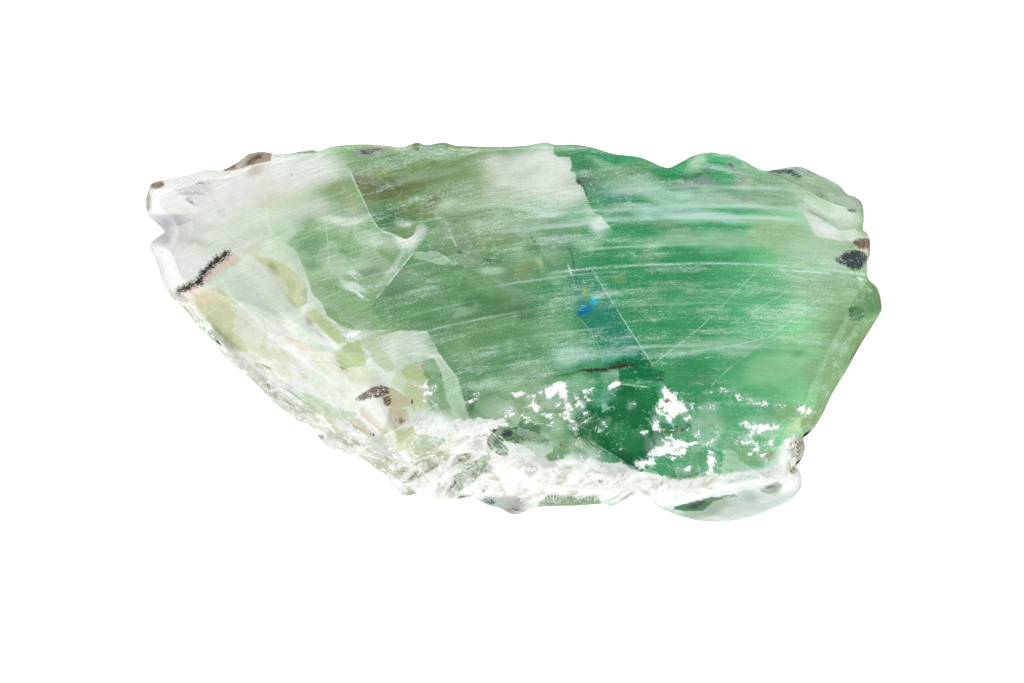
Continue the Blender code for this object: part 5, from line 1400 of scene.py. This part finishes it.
def stone_mesh():
    """Rim, face, wall and underside as one closed mesh, with the marks for its finish."""
    loop, rim, width = outline()
    centre = (loop.min(0) + loop.max(0)) / 2
    flat = face_grid(loop)
    inside, rim_near, width_near = from_edge(flat, loop, rim, width)
    face = np.dstack([flat, face_height(flat, inside, rim_near, width_near)])
    per_row = COLUMNS + 1
    index = np.arange((ROWS + 1) * per_row).reshape(ROWS + 1, per_row)
    quads = [np.stack([index[:-1, :-1], index[:-1, 1:], index[1:, 1:], index[1:, :-1]], -1)]
    upper = np.concatenate([index[:-1, 0], index[-1, :-1], index[:0:-1, -1], index[0, :0:-1]])
    points = [face.reshape(-1, 3)]
    skin = [np.zeros(index.size)]
    used = index.size
    walls = wall_rings(loop, face.reshape(-1, 3)[upper][:, 2])
    base = walls[-1]
    floors = [base * (1 - share) for share in np.linspace(0, 1, BASE_RINGS + 1)[1:-1]]
    for place, ring in enumerate(walls + floors):
        lower = used + np.arange(len(loop))
        quads.append(np.stack([upper, lower, np.roll(lower, -1), np.roll(upper, -1)], -1)[:, ::-1])
        points.append(ring)
        skin.append(np.full(len(loop), min(1.0, (place + 1) / 4)))
        used += len(loop)
        upper = lower
    points.append(np.zeros((1, 3)))
    skin.append(np.ones(1))
    fan = np.stack([upper, np.full(len(loop), used), np.roll(upper, -1)], -1)[:, ::-1]
    vertices = np.vstack(points)
    plan = vertices[:, :2].copy()
    level = np.column_stack([plan, np.where(vertices[:, 2] > 0.3 * FACE_HEIGHT, 0, vertices[:, 2])])
    vertices[:, :2] -= centre
    faces = [quad.tolist() for block in quads for quad in block.reshape(-1, 4)] + fan.tolist()
    mesh = bpy.data.meshes.new("chrysoberyl_slab")
    mesh.from_pydata((vertices * MM).tolist(), [], faces)
    mesh.shade_smooth()
    colours, numbers, rows = tone_marks(level, plan)
    numbers["skin"] = np.concatenate(skin)
    numbers["inside"] = np.zeros(len(plan))
    numbers["inside"][: inside.size] = inside.ravel()
    for name, values in colours.items():
        mark = mesh.attributes.new(name, "FLOAT_COLOR", "POINT")
        filled = np.column_stack([values, np.ones(len(values))]).astype(np.float32)
        mark.data.foreach_set("color", filled.ravel())
    for name, values in numbers.items():
        mark = mesh.attributes.new(name, "FLOAT", "POINT")
        mark.data.foreach_set("value", values.astype(np.float32))
    for name, values in rows.items():
        mark = mesh.attributes.new(name, "FLOAT_VECTOR", "POINT")
        mark.data.foreach_set("vector", values.astype(np.float32).ravel())
    return mesh, centre


# ---------------------------------------------------------------- finish
class Wire:
    """An output of a material's node. Sums and products of wires add the Math nodes for them."""

    def __init__(self, nodes, socket):
        self.nodes = nodes
        self.socket = socket

    def worked(self, operation, *values):
        return self.nodes.add("Math", {"operation": operation}, *values)

    def __add__(self, other):
        return self.worked("ADD", self, other)

    def __radd__(self, other):
        return self.worked("ADD", other, self)

    def __sub__(self, other):
        return self.worked("SUBTRACT", self, other)

    def __rsub__(self, other):
        return self.worked("SUBTRACT", other, self)

    def __mul__(self, other):
        return self.worked("MULTIPLY", self, other)

    def __rmul__(self, other):
        return self.worked("MULTIPLY", other, self)

    def __truediv__(self, other):
        return self.worked("DIVIDE", self, other)

    def __abs__(self):
        return self.worked("ABSOLUTE", self)

    def __neg__(self):
        return self.worked("MULTIPLY", self, -1.0)


class Nodes:
    """Builds one material's node tree."""

    def __init__(self, material):
        self.tree = material.node_tree
        self.tree.nodes.clear()

    def add(self, kind, settings=None, *values, output=0, **named):
        """A node of the given kind with its settings, the values or wires of its sockets in
        order and then by name, and the wire of one of its outputs."""
        node = self.tree.nodes.new("ShaderNode" + kind)
        for name, value in (settings or {}).items():
            setattr(node, name, value)
        pairs = list(zip(range(len(values)), values))
        pairs += [(name.replace("_", " "), value) for name, value in named.items()]
        for place, value in pairs:
            if value is None:
                continue
            if isinstance(value, Wire):
                self.tree.links.new(value.socket, node.inputs[place])
            else:
                node.inputs[place].default_value = value
        return Wire(self, node.outputs[output]) if len(node.outputs) else node

    def mark(self, name, output="Fac"):
        return self.add("Attribute", {"attribute_name": name}, output=output)

    def between(self, value, low, high):
        """0 where the value is below low, 1 above high, and an eased curve between."""
        ends = {"interpolation_type": "SMOOTHSTEP"}
        return self.add("MapRange", ends, value, low, high, 0.0, 1.0)

    def blend(self, share, first, second, how="MIX"):
        """A colour between two, by their share."""
        settings = {"data_type": "RGBA", "blend_type": how, "clamp_factor": True}
        node = self.tree.nodes.new("ShaderNodeMix")
        for name, value in settings.items():
            setattr(node, name, value)
        for place, value in ((0, share), (6, first), (7, second)):
            if isinstance(value, Wire):
                self.tree.links.new(value.socket, node.inputs[place])
            else:
                node.inputs[place].default_value = value
        return Wire(self, node.outputs[2])

    def noise(self, where, scale, detail, roughness=0.5, distortion=0.0):
        return self.add(
            "TexNoise", {"noise_dimensions": "3D"}, Vector=where, Scale=scale, Detail=detail,
            Roughness=roughness, Distortion=distortion,
        )


def tone(name):
    """A tone as a colour in linear light."""
    return tuple(float(v) for v in to_linear(TONES[name])) + (1.0,)


def stone_finish(centre):
    """Milky and clear green crystal, its silk, growth lines, fractures, chips and stains."""
    material = bpy.data.materials.new("green_crystal")
    material.use_nodes = True
    n = Nodes(material)
    place = n.add("TexCoord", output="Object")
    plan = n.add("VectorMath", {"operation": "SCALE"}, place, Scale=1000.0)
    offset = (float(centre[0]), float(centre[1]), 0.0)
    plan = n.add("VectorMath", {"operation": "ADD"}, plan, offset)
    x = n.add("SeparateXYZ", None, plan, output="X")
    y = n.add("SeparateXYZ", None, plan, output="Y")
    z = n.add("SeparateXYZ", None, plan, output="Z")
    across = x - GROWTH_CENTRE[0]
    up = y - GROWTH_CENTRE[1]
    radius = n.add("Math", {"operation": "SQRT"}, across * across + up * up)
    along = n.add("Math", {"operation": "ARCTAN2"}, across, up) * 95.0

    wide = n.noise(n.add("CombineXYZ", None, radius * 0.8, along * 0.09, z * 0.3), 1.0, 2.0, 0.5)
    lane = n.noise(n.add("CombineXYZ", None, radius * 2.4, along * 0.16, z), 1.0, 2.0, 0.5)
    veil = n.noise(n.add("CombineXYZ", None, radius * 0.7, along * 0.3, z * 0.3), 1.0, 3.0, 0.6)
    comb = n.noise(n.add("CombineXYZ", None, radius * 5.2, along * 0.45, z), 1.0, 2.0, 0.7)
    dash = n.noise(n.add("CombineXYZ", None, radius * 7.5, along * 1.3, z * 4.0), 1.0, 2.0, 0.6)
    speck = n.noise(n.add("CombineXYZ", None, radius * 11.0, along * 6.0, z * 5.0), 1.0, 1.0, 0.6)
    cloud = n.noise(plan, 0.45, 4.0, 0.6)
    ragged = n.noise(plan, 1.7, 4.0, 0.68, 0.3)
    crumb = n.noise(plan, 1.05, 5.0, 0.72, 0.9)
    grain = n.noise(plan, 6.5, 1.0, 0.6)

    steep = n.between(x + (cloud - 0.5) * 8.0, -10.7, -10.3)
    turned = []
    for turn, share in ((-38.0, 1.0 - steep), (38.0, steep)):
        slant = x * math.cos(math.radians(turn)) + y * math.sin(math.radians(turn))
        cross = y * math.cos(math.radians(turn)) - x * math.sin(math.radians(turn))
        bent = n.add("CombineXYZ", None, slant * 0.5, cross * 1.7, z)
        turned.append(n.add("VectorMath", {"operation": "SCALE"}, bent, Scale=share))
    bent = n.add("VectorMath", {"operation": "ADD"}, *turned)
    strokes = n.noise(bent, 1.0, 3.0, 0.68, 0.5)
    fine_strokes = n.noise(bent, 3.1, 2.0, 0.65, 0.4)
    shard = n.add("CombineXYZ", None, (x * 0.79 - y * 0.62) * 0.3, (y * 0.79 + x * 0.62) * 0.7, z * 0.3)
    shard = n.add("VectorMath", {"operation": "ADD"}, shard, n.add("CombineXYZ", None, cloud, veil, 0.0))
    planes = n.add("TexVoronoi", {"feature": "F1"}, shard, Scale=1.0, output="Color")
    plane = n.add("SeparateColor", None, planes, output="Red")
    crease = n.add("TexVoronoi", {"feature": "DISTANCE_TO_EDGE"}, shard, Scale=1.0, output="Distance")
    inside = n.mark("inside")

    crush = n.mark("crush")
    torn = n.mark("torn")
    silk = n.mark("silk")
    clear = n.mark("clear")
    skin = n.mark("skin")

    # facet numbers by which the facets are painted shaded or lit
    facets = n.mark("fine_facets") * 0.5 + n.mark("small_facets") * 0.5
    jitter = (ragged - 0.5) * (0.2 + crush * 0.5 + torn * 1.4)
    soft = 0.03 + n.between(cloud, 0.5, 0.7) * 0.25
    base = n.mark("ground", "Color")
    for name in SHEET_NAMES[1:]:
        cover = n.between((n.mark(name + "_edge") + jitter) / soft, -1.0, 1.0)
        if name != "face":
            cover = cover * (1.0 - skin * 0.85)
        base = n.blend(cover, base, n.mark(name, "Color"))

    # broad streaks and clouds
    shade = 0.90 + wide * 0.2
    base = n.blend(1.0, base, n.add("CombineColor", None, shade, shade, shade), "MULTIPLY")
    pale = n.mark("pale")
    mottle = 0.9 + cloud * 0.16 + (ragged - 0.5) * 0.18 + (plane - 0.5) * (0.04 + pale * 0.1)
    base = n.blend(1.0, base, n.add("CombineColor", None, mottle, mottle, mottle), "MULTIPLY")
    base = n.blend(n.between(plane, 0.62, 0.66) * pale * 0.14, base, tone("khaki"))
    base = n.blend(n.between(plane, 0.28, 0.24) * pale * 0.35, base, tone("frost"))

    # silk and growth lines
    density = (wide - 0.5) * 0.9 + (lane - 0.5) * 0.5 + (veil - 0.5) * 0.7
    threads = n.between(dash + density * 0.5, 0.54, 0.76)
    specks = n.between(speck + density * 0.5, 0.52, 0.8)
    base = n.blend(n.between(density, -0.02, 0.3) * silk * 0.3, base, tone("mint"))
    grained = 0.955 + (speck - 0.5) * (0.2 + silk * 0.3) + (comb - 0.5) * (0.25 + silk * 0.55)
    base = n.blend(1.0, base, n.add("CombineColor", None, grained, grained, grained), "MULTIPLY")
    base = n.blend(specks * silk * 0.32, base, tone("silk"))
    base = n.blend(threads * (0.4 + speck * 1.2) * silk * 0.34, base, tone("silk"))
    for where, half, strength, start, end in GROWTH_LINES:
        line = abs(radius - where) / half + (speck - 0.5) * 4.5 + (dash - 0.5) * 3.0
        line = n.between(line, 1.5, 0.0)
        line = line * n.between(lane + dash * 0.8, 0.6, 1.05) * silk * strength
        along_it = x + (cloud - 0.5) * 8.0
        line = line * n.between(along_it, start - 2.5, start + 2.5)
        line = line * n.between(along_it, end + 2.5, end - 2.5)
        base = n.blend(line, base, tone("silk"))

    # layers and creases of the pale ground, seen through it, with painted shade in the creases between the layers
    layered = n.mark("layers")
    # painted shade where the strokes are low; where they are high, white layers
    low = n.between(strokes, 0.48, 0.36) * layered
    high = n.between(strokes, 0.5, 0.6) * layered
    base = n.blend(low * 0.55, base, tone("shade"))
    base = n.blend(high * 0.6, base, tone("white"))
    # finer strokes of painted khaki shade, and finer white ones
    fine_step_shade = n.between(fine_strokes, 0.44, 0.34) * layered
    base = n.blend(fine_step_shade * 0.5, base, tone("khaki"))
    base = n.blend(n.between(fine_strokes, 0.56, 0.64) * layered * 0.55, base, tone("white"))
    fine = n.between(crease + (speck - 0.5) * 0.02, 0.03, 0.0) * n.between(ragged, 0.48, 0.62)
    base = n.blend(fine * pale * 0.45, base, tone("frost"))

    # painted shade and painted highlight on the facets of the broken ground, each facet shaded or lit at random
    broken = n.between(crush + skin * 0.5, 0.0, 0.8)
    base = n.blend(broken * n.between(facets, 0.5, 0.95) * 0.5, base, tone("shade"))
    base = n.blend(broken * n.between(facets, 0.42, 0.1) * 0.3, base, tone("white"))

    # small blocks of the crushed ground, some shaded and some lit
    blocks = n.add("VectorMath", {"operation": "ADD"}, plan, n.add("CombineXYZ", None, ragged, cloud, 0.0))
    blocks = n.add("TexVoronoi", {"feature": "F1"}, blocks, Scale=1.15, output="Color")
    block = n.add("SeparateColor", None, blocks, output="Red")
    base = n.blend(broken * n.between(block, 0.6, 0.95) * 0.4, base, tone("shade"))
    base = n.blend(broken * n.between(block, 0.35, 0.1) * 0.3, base, tone("white"))

    # curved hair cracks, and white flecks round the breaks, partly painted glints
    curl = abs(n.noise(plan, 0.8, 2.0, 0.6, 1.4) - 0.5)
    hair = n.between(curl, 0.012, 0.003) * n.between(ragged, 0.42, 0.52)
    hair = hair * n.between(cloud + (veil - 0.5) * 0.6, 0.5, 0.6)
    base = n.blend(hair * torn * 0.7, base, tone("frost"))
    # white flecks of small breaks, partly painted glints
    fleck_and_glint = n.between(crumb + (ragged - 0.5) * 0.6 + torn * 0.06, 0.7, 0.76)
    fleck_and_glint = fleck_and_glint * n.between(torn, 0.1, 0.5)
    fleck_and_glint = fleck_and_glint * n.between(cloud + (ragged - 0.5) * 0.3, 0.48, 0.58)
    base = n.blend(fleck_and_glint * 0.8, base, tone("silk"))
    dark_hair = n.between(abs(crumb - 0.5), 0.010, 0.002) * n.between(cloud, 0.5, 0.6)
    base = n.blend(dark_hair * broken * 0.45, base, tone("rim"))

    # fine strokes
    for name, across_them in (("slanting", (x + y) * 0.7), ("upright", x)):
        wave = n.add("Math", {"operation": "SINE"}, across_them * 25.0 + ragged * 16.0)
        marked = n.mark(name) * n.between(ragged, 0.42, 0.56)
        base = n.blend(marked * n.between(wave, 0.1, 0.8) * 0.75, base, tone("frost"))
        base = n.blend(marked * n.between(wave, -0.1, -0.9) * 0.5, base, tone("forest"))

    # the rim, a little darker and browner, and painted shade on the pale slopes falling to it
    border = n.between(inside + (ragged - 0.5) * 0.6, 0.4, 0.0) * (1.0 - skin * 0.7)
    base = n.blend(border * n.between(cloud, 0.4, 0.65) * 0.5, base, tone("rim"))
    # painted shade on the pale slopes near the rim
    painted_lip_shade = n.between(inside + (ragged - 0.5) * 1.6, 1.1, 0.1) * pale * (1.0 - skin)
    base = n.blend(painted_lip_shade * 0.3, base, tone("grey"))

    # chips and crumbling
    chip = n.mark("chip_edge")
    chip_noise = (crumb - 0.5) * 1.8 + (block - 0.5) * 0.4 + (speck - 0.5) * 0.5
    haze = n.between(chip + (crumb - 0.5) * 2.4, -0.4, 0.3) * 0.28
    base = n.blend(haze, base, tone("silk"))
    chips = n.between(chip + chip_noise, 0.03, 0.18)
    crumbs = n.between(crumb + crush * 0.2, 0.64, 0.7) * n.between(crush, 0.05, 0.3)
    crumbs = crumbs * (1.0 - layered * 0.7)
    white = n.add("Math", {"operation": "MAXIMUM"}, chips, crumbs)
    base = n.blend(white, base, tone("white"))

    # bright lines of the fractures
    for name in BRIGHT_LINES:
        parts = n.mark(name, "Vector")
        signed = n.add("SeparateXYZ", None, parts, output="X")
        strength = n.add("SeparateXYZ", None, parts, output="Y")
        away = n.add("SeparateXYZ", None, parts, output="Z")
        line = n.between(abs(signed) + (speck - 0.5) * 4.0, 1.8, 0.2) * strength
        line = line * n.between(cloud + (ragged - 0.5) * 0.8, 0.34, 0.56)
        base = n.blend(line * n.between(away, 0.6, 0.4), base, tone("silk"))

    # stains and cracks
    parts = n.mark("cracks", "Vector")
    signed = n.add("SeparateXYZ", None, parts, output="X")
    strength = n.add("SeparateXYZ", None, parts, output="Y")
    away = n.add("SeparateXYZ", None, parts, output="Z")
    crack = n.between(abs(signed) + (ragged - 0.5) * 3.5 + (speck - 0.5) * 4.0, 2.0, 0.2)
    crack = crack * n.between(away, 0.9, 0.6)
    fresh = 1.0 - skin * 0.8
    dots = n.between(grain, 0.56, 0.62) * fresh
    uneven = 1.0 + (ragged - 0.5) * 4.0 + (speck - 0.5) * 2.5
    stain = n.between(n.mark("stain") * uneven, 0.2, 0.75)
    base = n.blend(stain * fresh * 0.85, base, tone("brown"))
    dots = dots * n.between(n.mark("stain"), 0.1, 0.4)
    base = n.blend(dots * 0.85, base, (0.06, 0.04, 0.03, 1.0))
    rust = n.between(n.mark("rust") * uneven, 0.25, 0.7)
    base = n.blend(rust * 0.8, base, (0.22, 0.05, 0.02, 1.0))
    soot = n.between(n.mark("soot") * uneven, 0.2, 0.65)
    base = n.blend(soot * fresh * 0.92, base, (0.03, 0.034, 0.055, 1.0))
    base = n.blend(crack * strength, base, (0.045, 0.035, 0.027, 1.0))

    # the broken wall and underside are frosted
    frosted = skin * n.between(crumb, 0.42, 0.6)
    base = n.blend(frosted * 0.45, base, tone("frost"))

    rough = 0.22 + white * 0.25 + stain * 0.2 + frosted * 0.2 + (cloud - 0.5) * 0.15
    height = grain * 0.5 + crumb * (0.4 + crush * 2.5) + n.between(chip, 0.0, 0.4) * 0.4
    normal = n.add("Bump", None, Strength=0.5, Distance=0.00008, Height=height)

    gloss = n.between(inside, 1.0, 2.5) * (1.0 - white) * 0.15
    milky = n.add(
        "BsdfPrincipled", None, Base_Color=base, Roughness=rough, IOR=1.746, Normal=normal,
        Specular_IOR_Level=0.0, Coat_Weight=gloss, Coat_Roughness=0.25,
    )
    glassy = n.add(
        "BsdfPrincipled", None, Base_Color=base, Roughness=rough, IOR=1.746, Normal=normal,
        Transmission_Weight=1.0,
    )
    share = clear * 0.35 * (1.0 - white)
    surface = n.add("MixShader", None, share, milky, glassy)
    absorbed = n.add("VolumeAbsorption", None, Color=(0.55, 0.9, 0.65, 1.0), Density=25.0)
    output = n.tree.nodes.new("ShaderNodeOutputMaterial")
    n.tree.links.new(surface.socket, output.inputs["Surface"])
    n.tree.links.new(absorbed.socket, output.inputs["Volume"])
    return material


# ---------------------------------------------------------------- the piece
mesh, plan_centre = stone_mesh()
crystal = bpy.data.objects.new("chrysoberyl_slab", mesh)
bpy.context.scene.collection.objects.link(crystal)
mesh.materials.append(stone_finish(plan_centre))
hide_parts("crystal")
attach(crystal, "root")


# ---------------------------------------------------------------- floor, light and camera
def floor():
    """A plain pale floor just under the stone."""
    half, drop = 1.5, -0.00003
    sheet = bpy.data.meshes.new("floor")
    corners = [(-half, -half, drop), (half, -half, drop), (half, half, drop), (-half, half, drop)]
    sheet.from_pydata(corners, [], [(0, 1, 2, 3)])
    material = bpy.data.materials.new("pale_floor")
    material.use_nodes = True
    shader = material.node_tree.nodes["Principled BSDF"]
    shader.inputs["Base Color"].default_value = (0.92, 0.92, 0.92, 1)
    shader.inputs["Roughness"].default_value = 1.0
    shader.inputs["Specular IOR Level"].default_value = 0.0
    shader.inputs["Emission Color"].default_value = (1, 1, 1, 1)
    shader.inputs["Emission Strength"].default_value = 0.6
    sheet.materials.append(material)
    obj = bpy.data.objects.new("floor", sheet)
    bpy.context.scene.collection.objects.link(obj)


def soft_light(name, place, size, power):
    """A square lamp that faces the stone."""
    lamp = bpy.data.lights.new(name, "AREA")
    lamp.shape = "SQUARE"
    lamp.size = size
    lamp.energy = power
    obj = bpy.data.objects.new(name, lamp)
    obj.location = place
    obj.rotation_euler = (-Vector(place)).to_track_quat("-Z", "Y").to_euler()
    bpy.context.scene.collection.objects.link(obj)


floor()
soft_light("left_light", (-0.7, 0.05, 0.4), 0.9, 2.4)
soft_light("right_light", (0.7, 0.1, 0.4), 0.9, 2.0)
soft_light("near_light", (-0.1, -0.7, 0.4), 0.9, 3.2)
soft_light("far_light", (-0.1, 0.7, 0.4), 0.9, 2.4)

world = bpy.data.worlds.new("studio")
world.use_nodes = True
world.node_tree.nodes["Background"].inputs["Color"].default_value = (1, 1, 1, 1)
world.node_tree.nodes["Background"].inputs["Strength"].default_value = 0.5
bpy.context.scene.world = world

LENS = 1000.0
FRAME_WIDTH = 81.92
camera = bpy.data.cameras.new("camera")
camera.lens = LENS
camera.sensor_width = 36.0
camera.clip_start = 0.01
camera.clip_end = 10.0
camera_object = bpy.data.objects.new("camera", camera)
aim = (-0.104 - plan_centre[0], -0.76 - plan_centre[1])
reach = FRAME_WIDTH * LENS / camera.sensor_width
camera_object.location = (aim[0] * MM, aim[1] * MM, (FACE_HEIGHT + reach) * MM)
bpy.context.scene.collection.objects.link(camera_object)
bpy.context.scene.camera = camera_object
bpy.context.scene.view_settings.view_transform = "Standard"
